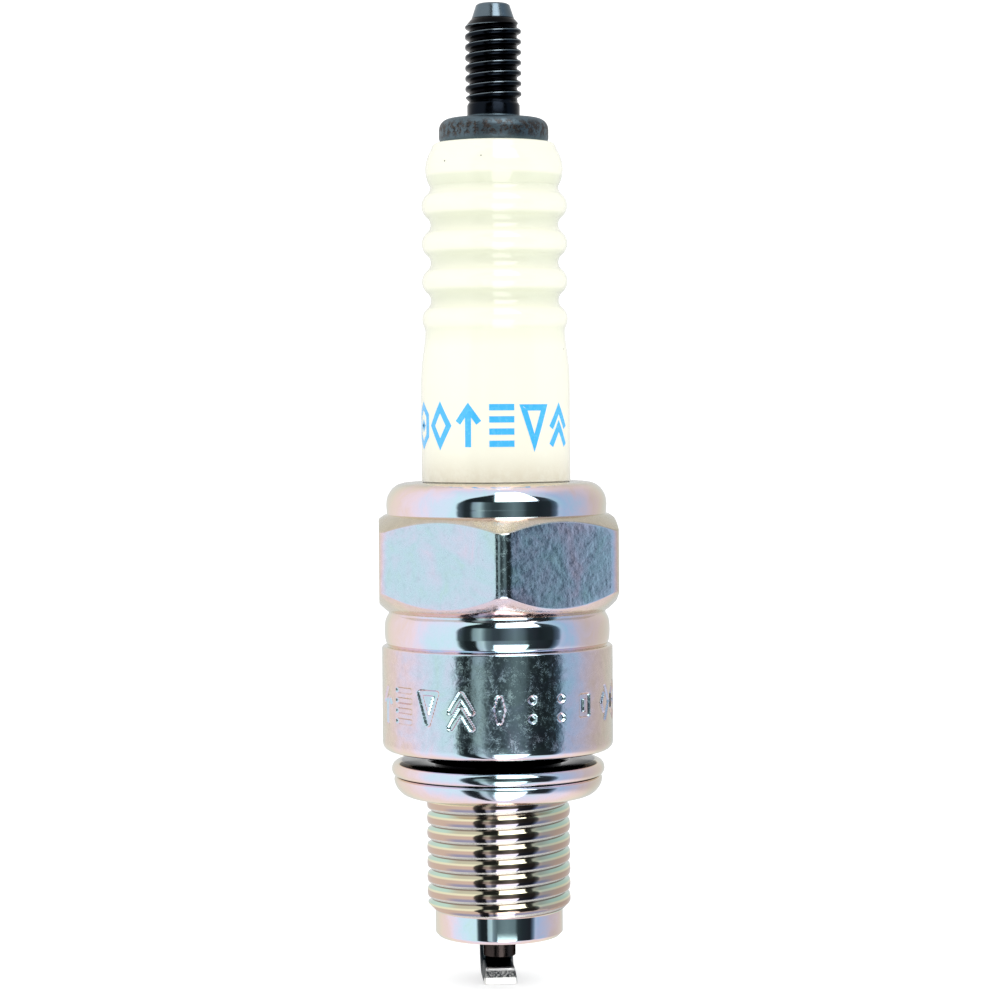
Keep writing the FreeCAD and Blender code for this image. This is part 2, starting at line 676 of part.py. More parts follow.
def check_document():
    """Stop if any object failed, or if a piece isn't one valid closed solid."""
    for obj in doc.Objects:
        failed = {"Invalid", "Error"} & set(obj.State)
        require(not failed, f"{obj.Name} is {obj.State}")
    for piece in pieces:
        shape = piece.Shape
        require(not shape.isNull() and shape.isValid(), f"{piece.Label} isn't valid")
        require(len(shape.Solids) == 1, f"{piece.Label} has {len(shape.Solids)} solids")


def write_parts():
    """Write each piece to its own STEP file."""
    os.makedirs("parts", exist_ok=True)
    for piece in pieces:
        piece.Shape.exportStep(f"parts/{piece.Label}.step")


fill_sheet()
make_terminal_stud()
make_insulator()
make_resistor()
make_upper_glass_seal()
make_lower_glass_seal()
make_center_electrode()
make_center_electrode_core()
make_metal_shell()
make_packing_washer()
make_packing_ring("lower_packing_ring", "lower_ring_z")
make_packing_ring("upper_packing_ring", "upper_ring_z")
make_talc_ring()
make_ground_electrode()
make_gasket()
doc.recompute()
check_document()
write_parts()
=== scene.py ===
"""Looks of a small spark plug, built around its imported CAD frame.

Lengths are in millimetres and angles in degrees until a mesh is made, which is in metres.
Z is the plug's axis, with the gasket seat at zero.  The camera stands on the -Y side.
"""

import math

import bpy
import numpy as np
from mathutils import Euler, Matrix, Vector


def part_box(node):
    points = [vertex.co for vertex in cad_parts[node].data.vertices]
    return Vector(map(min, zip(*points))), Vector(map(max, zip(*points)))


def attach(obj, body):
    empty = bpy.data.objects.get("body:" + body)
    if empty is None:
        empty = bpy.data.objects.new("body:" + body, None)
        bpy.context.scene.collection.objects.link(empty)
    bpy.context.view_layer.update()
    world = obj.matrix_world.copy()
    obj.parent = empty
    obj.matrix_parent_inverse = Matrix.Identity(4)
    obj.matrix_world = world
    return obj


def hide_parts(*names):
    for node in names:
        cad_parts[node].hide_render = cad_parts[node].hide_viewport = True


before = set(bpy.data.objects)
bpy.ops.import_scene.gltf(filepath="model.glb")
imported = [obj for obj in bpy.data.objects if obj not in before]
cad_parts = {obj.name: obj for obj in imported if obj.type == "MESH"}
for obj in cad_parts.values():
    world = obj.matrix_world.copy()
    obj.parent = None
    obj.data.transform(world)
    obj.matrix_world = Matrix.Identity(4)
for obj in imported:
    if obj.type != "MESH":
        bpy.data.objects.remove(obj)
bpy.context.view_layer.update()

MM = 0.001


# ---- Sizes that come from the frame ----

def reach_of(node):
    """Lowest and highest corner of a CAD node, in millimetres."""
    low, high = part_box(node)
    return low / MM, high / MM


stud_low, stud_high = reach_of("terminal_stud")
insulator_low, insulator_high = reach_of("insulator")
shell_low, shell_high = reach_of("metal_shell")
gasket_low, gasket_high = reach_of("gasket")
strap_low = reach_of("ground_electrode")[0]
electrode_low = reach_of("center_electrode")[0]


# ---- Section lines ----

def rounded(corners):
    """Line through the corners (radius, height, fillet, steps), with its fillets.

    A radius or height may be an array with one value for each column of the mesh, and
    the line then differs from column to column.  The fillet and its steps may be left out.
    """
    width = max(np.size(value) for corner in corners for value in corner[:2])
    points = [np.stack([np.broadcast_to(np.asarray(value, float), width)
                        for value in corner[:2]], axis=-1) for corner in corners]
    line = []
    for index, corner in enumerate(corners):
        here = points[index]
        if len(corner) == 2:
            line.append(here)
            continue
        fillet, steps = corner[2], corner[3]
        back = unit(points[index - 1] - here)
        ahead = unit(points[(index + 1) % len(points)] - here)
        half = np.arccos(np.clip((back * ahead).sum(-1), -1, 1))[:, None] / 2
        centre = here + unit(back + ahead) * fillet / np.sin(half)
        start = here + back * fillet / np.tan(half) - centre
        end = here + ahead * fillet / np.tan(half) - centre
        sweep = math.pi - 2 * half
        for step in range(steps + 1):
            share = step / steps
            line.append(centre + (start * np.sin((1 - share) * sweep)
                                  + end * np.sin(share * sweep)) / np.sin(sweep))
    return line


def unit(vectors):
    """Vectors of length one."""
    return vectors / np.linalg.norm(vectors, axis=-1, keepdims=True)


def smooth_line(knots, step):
    """Points about a step apart on a smooth curve through (radius, height) knots."""
    knots = np.array(knots, float)
    line = []
    for index in range(len(knots) - 1):
        before = knots[max(index - 1, 0)]
        here, there = knots[index], knots[index + 1]
        after = knots[min(index + 2, len(knots) - 1)]
        count = max(2, math.ceil(np.linalg.norm(there - here) / step))
        for share in np.arange(count) / count:
            slope_in = (there - before) / 2
            slope_out = (after - here) / 2
            square, cube = share**2, share**3
            line.append((2 * cube - 3 * square + 1) * here + (cube - 2 * square + share) * slope_in
                        + (3 * square - 2 * cube) * there + (cube - square) * slope_out)
    line.append(knots[-1])
    return [(radius, height) for radius, height in line]


def flank(start, end, crest_curve, step=0.07):
    """Two tangent arcs from a crest to a valley or back, as (radius, height) points.

    Both ends lie along the axis, and the last point is left out.
    """
    rise, fall = end[1] - start[1], start[0] - end[0]
    side = math.copysign(1.0, fall)
    both = (rise**2 + fall**2) / (2 * abs(fall))
    first = crest_curve if fall > 0 else both - crest_curve
    last = both - first
    sweep = math.asin(rise / both)
    line = []
    for share in np.linspace(0, 1, max(3, math.ceil(first * sweep / step)) + 1):
        turn = share * sweep
        line.append((start[0] - side * first * (1 - math.cos(turn)),
                     start[1] + first * math.sin(turn)))
    for share in np.linspace(1, 0, max(3, math.ceil(last * sweep / step)) + 1)[1:-1]:
        turn = share * sweep
        line.append((end[0] + side * last * (1 - math.cos(turn)), end[1] - last * math.sin(turn)))
    return line


def thread_groove(crest, root, pitch, crest_half, crown, fillet):
    """One pitch of a 60 degree thread, as (radius, height) from root to root.

    Rolling leaves the crest crowned: it drops by the crown at half its width.
    """
    depth = crest - crown - root
    half_root = pitch / 2 - crest_half - depth * math.tan(math.radians(30))
    shares = np.linspace(-1, 1, 9)
    crest_line = [(crest - crown * share**2, share * crest_half) for share in shares]
    crest_line[0] += (fillet / 2, 2)
    crest_line[-1] += (fillet / 2, 2)
    corners = [(root, -pitch / 2), (root, -pitch / 2 + half_root, fillet, 2), *crest_line,
               (root, pitch / 2 - half_root, fillet, 2), (root, pitch / 2)]
    return [tuple(point[0]) for point in rounded(corners)][:-1]


# ---- Meshes ----

class Skin:
    """Points and faces of a mesh that runs round the Z axis in equal columns."""

    def __init__(self, columns, first_angle=-90.0):
        self.columns = columns
        self.angles = math.radians(first_angle) + np.arange(columns) * math.tau / columns
        self.points = []
        self.count = 0
        self.faces = []

    def add_points(self, points):
        """Store points, an array of shape (n, 3), and return their numbers."""
        self.points.append(points)
        self.count += len(points)
        return np.arange(self.count - len(points), self.count)

    def place(self, radius, height):
        """One point in each column, from radii and heights or from one of either."""
        return np.stack([radius * np.cos(self.angles), radius * np.sin(self.angles),
                         np.broadcast_to(height, self.columns)], axis=-1)

    def ring(self, radius, height):
        """One closed ring, or a single point where the radius is zero."""
        if not np.any(radius):
            pole = self.add_points(np.array([[0.0, 0.0, float(height)]]))
            return np.full(self.columns, pole[0])
        return self.add_points(self.place(radius, height))

    def rings(self, line):
        """Rings for every point of a section line, from the first to the last."""
        return [self.ring(*point.T) if isinstance(point, np.ndarray) else self.ring(*point)
                for point in line]

    def bridge(self, rings, closed=False):
        """Faces between each ring and the next one, listed anticlockwise."""
        pairs = list(zip(rings, rings[1:]))
        if closed:
            pairs.append((rings[-1], rings[0]))
        for low, high in pairs:
            self.faces.append(np.stack([low, np.roll(low, -1), np.roll(high, -1), high], axis=-1))

    def thread(self, low_ring, high_ring, low_z, high_z, pitch, groove, outline):
        """A right-hand thread between two rings, cut no prouder than the outline.

        Its rows climb with the helix, so that every crest is one clean edge.  The rows
        that would pass an end are gathered into that end's ring.
        """
        steps = len(groove)
        turns = math.ceil((high_z - low_z) / pitch) + 2
        rise = (self.angles - self.angles[0]) / math.tau * pitch
        snap = 0.03 * pitch
        rows = []
        for row in range(turns * steps):
            radius, phase = groove[row % steps]
            height = low_z - pitch + (row // steps) * pitch + phase + pitch / 2 + rise
            limit = np.interp(height, outline[0], outline[1])
            numbers = np.where(height < low_z + snap, low_ring, high_ring)
            inside = (height >= low_z + snap) & (height <= high_z - snap)
            if inside.any():
                numbers = numbers.copy()
                places = self.place(np.minimum(radius, limit), height)
                numbers[inside] = self.add_points(places[inside])
            rows.append(numbers)
        for row in range(len(rows) - 1):
            low, high = rows[row], rows[row + 1]
            turned = [rows[later][0] if later < len(rows) else high_ring[0]
                      for later in (row + steps, row + steps + 1)]
            self.faces.append(np.stack([low, np.append(low[1:], turned[0]),
                                        np.append(high[1:], turned[1]), high], axis=-1))

    def mesh(self):
        """Blender mesh in metres, without the faces that fell flat."""
        points = np.concatenate(self.points)
        quads = np.concatenate(self.faces)
        faces = []
        for quad in quads.tolist():
            corners = [c for i, c in enumerate(quad) if c != quad[i - 1]]
            if len(set(corners)) == len(corners) and len(corners) > 2:
                faces.append(corners)
        return solid_mesh(points, faces)


def solid_mesh(points, faces):
    """Blender mesh in metres, from points in millimetres."""
    mesh = bpy.data.meshes.new("piece")
    mesh.from_pydata((np.array(points) * MM).tolist(), [], faces)
    return mesh


def new_piece(name, mesh, material, replaces=None, sharp=32, body="plug"):
    """Put a mesh in the scene as a piece that rides on a CAD body.

    Its one slot holds its material.
    """
    mesh.name = name
    mesh.validate()
    mesh.materials.append(material)
    mesh.shade_smooth()
    mesh.set_sharp_from_angle(angle=math.radians(sharp))
    piece = bpy.data.objects.new(name, mesh)
    bpy.context.scene.collection.objects.link(piece)
    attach(piece, body)
    if replaces:
        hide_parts(replaces)
    return piece


# ---- Materials ----

class Nodes:
    """Short calls for building a node tree."""

    def __init__(self, tree):
        self.tree = tree
        tree.nodes.clear()

    def add(self, kind, inputs=None, **settings):
        """A node with its settings, and its inputs set to values or linked to sockets."""
        node = self.tree.nodes.new(kind)
        for key, value in settings.items():
            setattr(node, key, value)
        for key, value in (inputs or {}).items():
            if isinstance(value, bpy.types.NodeSocket):
                self.tree.links.new(value, node.inputs[key])
            else:
                node.inputs[key].default_value = value
        return node

    def math(self, operation, first, second=0.0, third=0.0, clamp=False):
        """Result of a Math node."""
        node = self.add(
            "ShaderNodeMath", {0: first, 1: second, 2: third}, operation=operation, use_clamp=clamp)
        return node.outputs[0]

    def times(self, first, second):
        """Product of two values."""
        return self.math("MULTIPLY", first, second)

    def scaled(self, value, factor, offset):
        """A value times a factor, plus an offset."""
        return self.math("MULTIPLY_ADD", value, factor, offset)

    def vector(self, operation, first, second=(0.0, 0.0, 0.0)):
        """Result of a Vector Math node, which for some operations is a plain value."""
        node = self.add("ShaderNodeVectorMath", {0: first, 1: second}, operation=operation)
        plain = operation in ("LENGTH", "DISTANCE", "DOT_PRODUCT")
        return node.outputs["Value" if plain else "Vector"]

    def parts(self, vector):
        """Outputs X, Y and Z for the parts of a vector."""
        return self.add("ShaderNodeSeparateXYZ", {0: vector}).outputs

    def geometry(self, output):
        """One output of a Geometry node."""
        return self.add("ShaderNodeNewGeometry").outputs[output]

    def open_sky(self, distance):
        """Share of the sky that is open within a distance, in millimetres."""
        return self.add(
            "ShaderNodeAmbientOcclusion", {"Distance": distance * MM}, samples=8).outputs["AO"]

    def noise(self, scale, detail=3.0, roughness=0.55, vector=None, distortion=0.0):
        """Noise in the object's own space, as a factor around one half."""
        inputs = {"Scale": scale, "Detail": detail, "Roughness": roughness,
                  "Distortion": distortion, "Vector": vector or self.position()}
        return self.add("ShaderNodeTexNoise", inputs).outputs["Fac"]

    def position(self):
        """Place on the object, in millimetres."""
        if not hasattr(self, "place"):
            coordinates = self.add("ShaderNodeTexCoord").outputs["Object"]
            scaled = self.add(
                "ShaderNodeVectorMath", {0: coordinates, "Scale": 1 / MM}, operation="SCALE")
            self.place = scaled.outputs["Vector"]
        return self.place

    def stretched(self, x, y, z):
        """Place on the object with each direction scaled by its own factor."""
        return self.vector("MULTIPLY", self.position(), (x, y, z))

    def height(self):
        """Height on the object, in millimetres."""
        return self.parts(self.position())["Z"]

    def reach(self):
        """Distance from the axis, in millimetres."""
        return self.vector("LENGTH", self.stretched(1.0, 1.0, 0.0))

    def span(self, value, low, high, to_low=0.0, to_high=1.0, smooth=True):
        """Map a value from one range to another, held at the ends."""
        node = self.add("ShaderNodeMapRange",
                        {"Value": value, "From Min": low, "From Max": high,
                         "To Min": to_low, "To Max": to_high},
                        interpolation_type="SMOOTHSTEP" if smooth else "LINEAR")
        return node.outputs["Result"]

    def within(self, value, low, high, blur):
        """One between two limits and zero outside them, with soft edges on the inside."""
        return self.times(self.span(value, low, low + blur), self.span(value, high, high - blur))

    def ramp(self, value, stops):
        """Colour ramp through (place, colour) stops."""
        node = self.add("ShaderNodeValToRGB", {"Fac": value})
        elements = node.color_ramp.elements
        while len(elements) < len(stops):
            elements.new(0.5)
        for element, (place, colour) in zip(elements, stops):
            element.position = place
            element.color = (*colour, 1.0)
        return node.outputs["Color"]

    def mix(self, factor, first, second, mode="MIX"):
        """Blend of two colours."""
        node = self.add(
            "ShaderNodeMix", {0: factor, 6: first, 7: second}, data_type="RGBA", blend_type=mode)
        return node.outputs[2]

    def bump(self, height, strength, distance, below=None):
        """Normal with relief of a given depth, in millimetres."""
        inputs = {"Height": height, "Strength": strength, "Distance": distance * MM}
        if below is not None:
            inputs["Normal"] = below
        return self.add("ShaderNodeBump", inputs).outputs["Normal"]

    def scratches(self, turn, amount, fineness=1.0):
        """Thin straight scratches in one direction, as a factor that is mostly zero."""
        turned = self.add(
            "ShaderNodeVectorRotate", {"Vector": self.position(), "Angle": math.radians(turn)},
            rotation_type="Y_AXIS").outputs["Vector"]
        drawn_out = self.vector("MULTIPLY", turned, (9.0 * fineness, 9.0, 0.35))
        return self.span(self.noise(1.0, 2.0, 0.6, drawn_out), 0.70 - 0.05 * amount, 0.74)


def rgb(red, green, blue):
    """Opaque colour."""
    return (red, green, blue, 1.0)


def grey(level):
    """Opaque neutral colour."""
    return rgb(level, level, level)


def new_material(name):
    """Nodes of a new, empty material."""
    material = bpy.data.materials.new(name)
    material.use_nodes = True
    nodes = Nodes(material.node_tree)
    nodes.material = material
    return nodes


def finish_material(nodes, **inputs):
    """End a material with a Principled shader, and return it."""
    named = {key.replace("_", " "): value for key, value in inputs.items()}
    shader = nodes.add("ShaderNodeBsdfPrincipled", named)
    nodes.add("ShaderNodeOutputMaterial", {"Surface": shader.outputs["BSDF"]})
    return nodes.material


# Colours of the thin clear film on bright zinc, from facing the eye to edge on.
FILM = [
    (0.00, (0.58, 0.82, 0.84)),
    (0.08, (0.60, 0.82, 0.93)),
    (0.18, (0.68, 0.79, 0.95)),
    (0.27, (0.79, 0.76, 0.93)),
    (0.38, (0.89, 0.74, 0.83)),
    (0.52, (0.88, 0.70, 0.67)),
    (0.68, (0.86, 0.72, 0.60)),
    (0.85, (0.78, 0.74, 0.60)),
    (1.00, (0.70, 0.70, 0.64)),
]

# The same film on the thread, by share of a pitch from a crest up to the next, with a painted
# highlight along each crest's upper edge and a painted shadow in each root.
CREST = (0.63, 0.46, 0.37)
# Painted highlight along the upper edge of each crest.
EDGE_HIGHLIGHT = (0.88, 0.83, 0.58)
KHAKI = (0.56, 0.53, 0.39)
MINT = (0.54, 0.74, 0.62)
# Painted shadow at the bottom of each groove.
ROOT_SHADE = (0.30, 0.22, 0.18)
WORN = (0.74, 0.71, 0.68)
LILAC = (0.32, 0.31, 0.42)
THREAD_FACING = [
    (0.00, CREST), (0.13, CREST), (0.21, EDGE_HIGHLIGHT), (0.27, EDGE_HIGHLIGHT), (0.33, KHAKI), (0.44, KHAKI),
    (0.49, ROOT_SHADE), (0.55, ROOT_SHADE), (0.61, WORN), (0.73, WORN), (0.78, LILAC), (0.88, LILAC),
    (1.00, CREST),
]
THREAD_EDGE_ON = [
    (0.00, CREST), (0.13, CREST), (0.21, EDGE_HIGHLIGHT), (0.27, EDGE_HIGHLIGHT), (0.33, MINT), (0.46, MINT),
    (0.50, ROOT_SHADE), (0.55, ROOT_SHADE), (0.61, WORN), (0.73, WORN), (0.78, CREST), (1.00, CREST),
]

DULL_ZINC = rgb(0.62, 0.57, 0.42)
# Near black, painted into crevices and other places that lie in shade, as painted shade.
PAINTED_SHADE = rgb(0.003, 0.003, 0.004)


def in_thread(nodes, film, low, high, start, pitch):
    """Film with a painted highlight on each crest's upper edge and a painted shadow in each root,
    the normal inside a thread, and a mask for the worn line under each crest.

    A groove with steep flanks sends light back level after three reflections, so the
    normal of a flank is turned part of the way to the radius.
    """
    mask = nodes.within(nodes.height(), low, high, 0.15)
    place = nodes.parts(nodes.position())
    angle = nodes.math("ARCTAN2", place["Y"], place["X"])
    turns = nodes.scaled(angle, -1 / math.tau, nodes.math("DIVIDE", place["Z"], pitch))
    phase = nodes.math("FRACT", nodes.math("SUBTRACT", turns, start))
    radial = nodes.vector("NORMALIZE", nodes.stretched(1.0, 1.0, 0.0))
    facing = nodes.vector("DOT_PRODUCT", radial, nodes.geometry("Incoming"))
    bands = nodes.mix(nodes.span(facing, 0.82, 0.60), nodes.ramp(phase, THREAD_FACING),
                      nodes.ramp(phase, THREAD_EDGE_ON))
    normal = nodes.geometry("Normal")
    slope = nodes.math("ABSOLUTE", nodes.parts(normal)["Z"])
    turn = nodes.times(mask, nodes.span(slope, 0.40, 0.60, 0.0, 0.55))
    turned = nodes.add(
        "ShaderNodeMix", {0: turn, 4: normal, 5: radial}, data_type="VECTOR").outputs[1]
    worn = nodes.times(mask, nodes.within(phase, 0.58, 0.75, 0.03))
    return nodes.mix(mask, film, bands), nodes.vector("NORMALIZE", turned), worn


def plated_steel(name, film_spread, roughness, matt_zones, hidden, bevels=None, thread=None):
    """Bright zinc plate under a thin iridescent film.

    It is mottled and scratched between the heights of each matt zone and mirror-like elsewhere.
    Deep crevices, and the hidden zone given as (low, high, radius), are painted near black as
    painted shade. Sloping faces between the heights of the bevels are duller.
    """
    nodes = new_material(name)
    height = nodes.height()
    facing = nodes.add("ShaderNodeLayerWeight", {"Blend": 0.5}).outputs["Facing"]
    patches = nodes.noise(0.42, 4.0, 0.6, nodes.stretched(1.0, 1.0, 0.8), 0.6)
    shift = nodes.scaled(nodes.math("SUBTRACT", patches, 0.5), film_spread, facing)
    film = nodes.ramp(nodes.math("MAXIMUM", shift, 0.0), FILM)
    blotches = nodes.noise(2.0, 6.0, 0.70)
    grain = nodes.noise(9.0, 3.0, 0.6)
    matt = 0.06
    for low, high in matt_zones:
        matt = nodes.math("MAXIMUM", nodes.within(height, low, high, 0.3), matt)
    normal, worn = None, 0.0
    if thread:
        film, normal, worn = in_thread(nodes, film, *thread)
    if bevels:
        sloping = nodes.math("ABSOLUTE", nodes.parts(nodes.geometry("Normal"))["Z"])
        dull = nodes.times(nodes.span(sloping, 0.20, 0.40), nodes.within(height, *bevels, 0.02))
        film = nodes.mix(nodes.times(dull, 0.7), film, DULL_ZINC)
    shade = nodes.span(nodes.scaled(grain, 0.4, blotches), 0.45, 0.95, 0.78, 1.0, smooth=False)
    tint = nodes.mix(matt, film, nodes.mix(1.0, film, shade, "MULTIPLY"))
    # Painted shade: places that see little open sky within 1.6 mm, and the hidden zone, are painted
    # near black.
    low, high, radius = hidden
    shade_zone_mask = nodes.times(
        nodes.within(height, low, high, 0.05), nodes.span(nodes.reach(), radius + 0.12, radius))
    light = nodes.times(
        nodes.span(nodes.open_sky(1.6), 0.08, 0.28), nodes.math("SUBTRACT", 1.0, shade_zone_mask))
    tint = nodes.mix(light, PAINTED_SHADE, tint)
    marks = nodes.math(
        "ADD", nodes.scratches(24.0, 1.0), nodes.scratches(-37.0, 0.6, 1.4), clamp=True)
    marks = nodes.times(marks, matt)
    polish = nodes.span(nodes.scaled(grain, 0.35, blotches), 0.58, 0.84, 0.1, 1.4)
    total = nodes.scaled(polish, nodes.times(matt, 0.18), roughness)
    total = nodes.scaled(marks, 0.12, total)
    total = nodes.scaled(worn, 0.38, total)
    relief = nodes.bump(
        nodes.scaled(grain, 0.06, nodes.noise(1.6, 2.5)), nodes.times(matt, 0.6), 0.020, normal)
    relief = nodes.bump(marks, 0.35, 0.004, relief)
    relief = nodes.bump(grain, nodes.times(worn, 0.8), 0.03, relief)
    return finish_material(nodes, Base_Color=tint, Metallic=1.0, Roughness=total, Normal=relief)


# Pinholes in the glaze near the top of the insulator.
PINHOLES = [(-3.30, -3.30, 39.60), (-0.85, -4.55, 39.85), (-3.55, -3.20, 37.05)]


def glazed_alumina(first_rib, rib_pitch, ribs):
    """Cream alumina under a clear glaze, a little sandy just above the shell.

    Each rib shades the valley under it, with a clear upper edge and a soft lower one.
    """
    nodes = new_material("glazed_alumina")
    height = nodes.height()
    cloud = nodes.noise(0.35, 3.0)
    upper = nodes.mix(cloud, rgb(0.90, 0.90, 0.745), rgb(0.92, 0.92, 0.775))
    lower = nodes.mix(cloud, rgb(0.87, 0.855, 0.72), rgb(0.90, 0.885, 0.75))
    base = nodes.mix(nodes.span(height, 26.0, 20.5), upper, lower)
    ripple = nodes.noise(1.4, 5.0, 0.65)
    uneven = nodes.scaled(nodes.math("SUBTRACT", ripple, 0.5), 1.6, height)
    sand = nodes.times(nodes.span(uneven, 20.6, 18.4), nodes.span(ripple, 0.30, 0.72, 0.35, 1.0))
    base = nodes.mix(nodes.times(sand, 0.75), base, rgb(0.72, 0.66, 0.50))
    phase = nodes.math("FRACT", nodes.math(
        "DIVIDE", nodes.math("SUBTRACT", height, first_rib), rib_pitch))
    under = nodes.times(nodes.span(phase, 0.20, 0.60), nodes.span(phase, 0.85, 0.73))
    under = nodes.times(under, nodes.span(height, first_rib - 1.2, first_rib + 0.3, 0.4, 1.0))
    under = nodes.times(under, nodes.within(height, first_rib - rib_pitch,
                                            first_rib + (ribs - 0.1) * rib_pitch, 0.1))
    base = nodes.mix(under, base, nodes.mix(1.0, base, rgb(0.84, 0.87, 0.83), "MULTIPLY"))
    cells = nodes.add("ShaderNodeTexVoronoi",
                      {"Vector": nodes.position(), "Scale": 0.42, "Randomness": 1.0}).outputs
    draw = nodes.add("ShaderNodeSeparateColor", {0: cells["Color"]}).outputs[0]
    speck = nodes.times(
        nodes.math("GREATER_THAN", draw, 0.93), nodes.span(cells["Distance"], 0.034, 0.022))
    for place in PINHOLES:
        gap = nodes.vector("DISTANCE", nodes.position(), place)
        speck = nodes.math("MAXIMUM", speck, nodes.span(gap, 0.085, 0.05))
    base = nodes.mix(speck, base, rgb(0.05, 0.045, 0.04))
    relief = nodes.bump(nodes.noise(0.9, 2.0), 0.12, 0.03)
    roughness = nodes.span(cloud, 0.3, 0.7, 0.09, 0.15)
    return finish_material(nodes, Base_Color=base, Roughness=roughness, Specular_IOR_Level=0.35,
                           Coat_Weight=0.5, Coat_Roughness=0.04, Normal=relief)


def black_oxide(flange_top, thread_foot, cone_foot, crest):
    """Oiled black oxide: slate on the flange and cone, black in the thread, worn at the crests with
    a painted highlight on their upper edges, and painted shade in the grooves.
    """
    nodes = new_material("black_oxide_steel")
    blotches = nodes.noise(2.8, 6.0, 0.70)
    grain = nodes.noise(14.0, 3.0, 0.6)
    height = nodes.height()
    reach = nodes.reach()
    on_flange = nodes.span(height, flange_top + 0.15, flange_top)
    on_cone = nodes.span(height, cone_foot - 0.03, cone_foot + 0.06)
    above_foot = nodes.span(height, thread_foot, thread_foot + 0.1)
    burnt = nodes.times(nodes.span(blotches, 0.44, 0.56),
                        nodes.within(height, flange_top - 1.7, flange_top - 0.20, 0.5))
    slate = nodes.mix(grain, rgb(0.075, 0.12, 0.15), rgb(0.16, 0.21, 0.24))
    brown = nodes.mix(nodes.span(grain, 0.4, 0.6), rgb(0.02, 0.018, 0.018), rgb(0.11, 0.075, 0.055))
    flange_tone = nodes.mix(nodes.times(burnt, 0.85), slate, brown)
    cone_tone = nodes.mix(grain, rgb(0.11, 0.155, 0.19), rgb(0.15, 0.19, 0.22))
    # Painted shade: the grooves between the crests are painted near black.
    groove_shade = nodes.times(
        nodes.span(reach, crest - 0.07, crest - 0.10),
        nodes.times(above_foot, nodes.span(height, cone_foot, cone_foot - 0.05)))
    upward = nodes.parts(nodes.geometry("Normal"))["Z"]
    # Painted highlight on the upper edge of each crest, picked by the upward normal, where the
    # oxide is also worn.
    worn = nodes.times(
        nodes.span(upward, 0.22, 0.45), nodes.span(reach, crest - 0.09, crest - 0.05))
    worn = nodes.times(worn, above_foot)
    tone = nodes.mix(worn, rgb(0.008, 0.011, 0.016), rgb(0.20, 0.25, 0.28))
    tone = nodes.mix(groove_shade, tone, PAINTED_SHADE)
    tone = nodes.mix(on_flange, tone, flange_tone)
    tone = nodes.mix(on_cone, tone, cone_tone)
    relief = nodes.bump(nodes.scaled(grain, 0.5, blotches), 0.5, 0.008)
    relief = nodes.bump(blotches, nodes.times(on_flange, 0.5), 0.03, relief)
    roughness = nodes.scaled(on_flange, 0.24, nodes.span(blotches, 0.3, 0.7, 0.13, 0.26))
    return finish_material(nodes, Base_Color=tone, Metallic=1.0, Specular_IOR_Level=0.3,
                           Roughness=roughness, Normal=relief)


def nickel_alloy(name, tone_low, tone_high, sheared_end=None):
    """Drawn nickel alloy with fine lengthwise lines and a dull bloom.

    A sheared end, given as (face, foot, thickness), is torn and dark above and burnished
    below.
    """
    nodes = new_material(name)
    lines = nodes.noise(1.0, 3.0, 0.6, nodes.stretched(16.0, 1.4, 1.4))
    bloom = nodes.noise(1.3, 4.0)
    fine = nodes.noise(9.0, 4.0)
    tone = nodes.mix(nodes.scaled(lines, 0.4, nodes.times(bloom, 0.6)), tone_low, tone_high)
    # Painted shade: places that see little open sky within 4 mm, such as the strap's inner face,
    # are painted near black.
    light = nodes.span(nodes.open_sky(4.0), 0.25, 0.85, 0.12, 1.0)
    tone = nodes.mix(light, rgb(0.01, 0.01, 0.011), tone)
    roughness = nodes.span(bloom, 0.3, 0.7, 0.16, 0.30)
    relief = nodes.bump(lines, 0.5, 0.008)
    relief = nodes.bump(fine, 0.4, 0.01, relief)
    if sheared_end:
        face, foot, thickness = sheared_end
        depth = nodes.parts(nodes.position())["Y"]
        on_end = nodes.span(depth, face + 0.42, face + 0.34)
        torn = nodes.times(on_end, nodes.within(
            nodes.height(), foot + 0.40 * thickness, foot + 0.90 * thickness, 0.1))
        pits = nodes.noise(6.0, 5.0, 0.7)
        torn_tone = nodes.mix(
            nodes.span(pits, 0.40, 0.62), rgb(0.02, 0.025, 0.03), rgb(0.50, 0.50, 0.49))
        tone = nodes.mix(on_end, tone, rgb(0.93, 0.93, 0.91))
        tone = nodes.mix(torn, tone, torn_tone)
        roughness = nodes.scaled(on_end, 0.22, roughness)
        relief = nodes.bump(pits, nodes.times(torn, 0.9), 0.08, relief)
    return finish_material(nodes, Base_Color=tone, Metallic=1.0, Roughness=roughness, Normal=relief,
                           Specular_Tint=rgb(0.25, 0.26, 0.27))


def blue_ink():
    """Fired blue ink, slightly uneven."""
    nodes = new_material("blue_ink")
    cloud = nodes.noise(2.4, 4.0)
    tone = nodes.mix(cloud, rgb(0.030, 0.42, 0.88), rgb(0.085, 0.53, 0.95))
    roughness = nodes.span(cloud, 0.3, 0.7, 0.18, 0.30)
    return finish_material(nodes, Base_Color=tone, Roughness=roughness, Coat_Weight=0.4,
                           Coat_Roughness=0.06)


def plain_grain(name, tone_low, tone_high, metallic, roughness, scale):
    """Simple material for a piece that is sealed inside the plug."""
    nodes = new_material(name)
    grain = nodes.noise(scale, 4.0)
    tone = nodes.mix(grain, tone_low, tone_high)
    relief = nodes.bump(grain, 0.4, 0.02)
    roughness = nodes.span(grain, 0.3, 0.7, roughness, roughness + 0.15)
    return finish_material(nodes, Base_Color=tone, Metallic=metallic, Roughness=roughness,
                           Normal=relief)


# ---- Generic marks ----

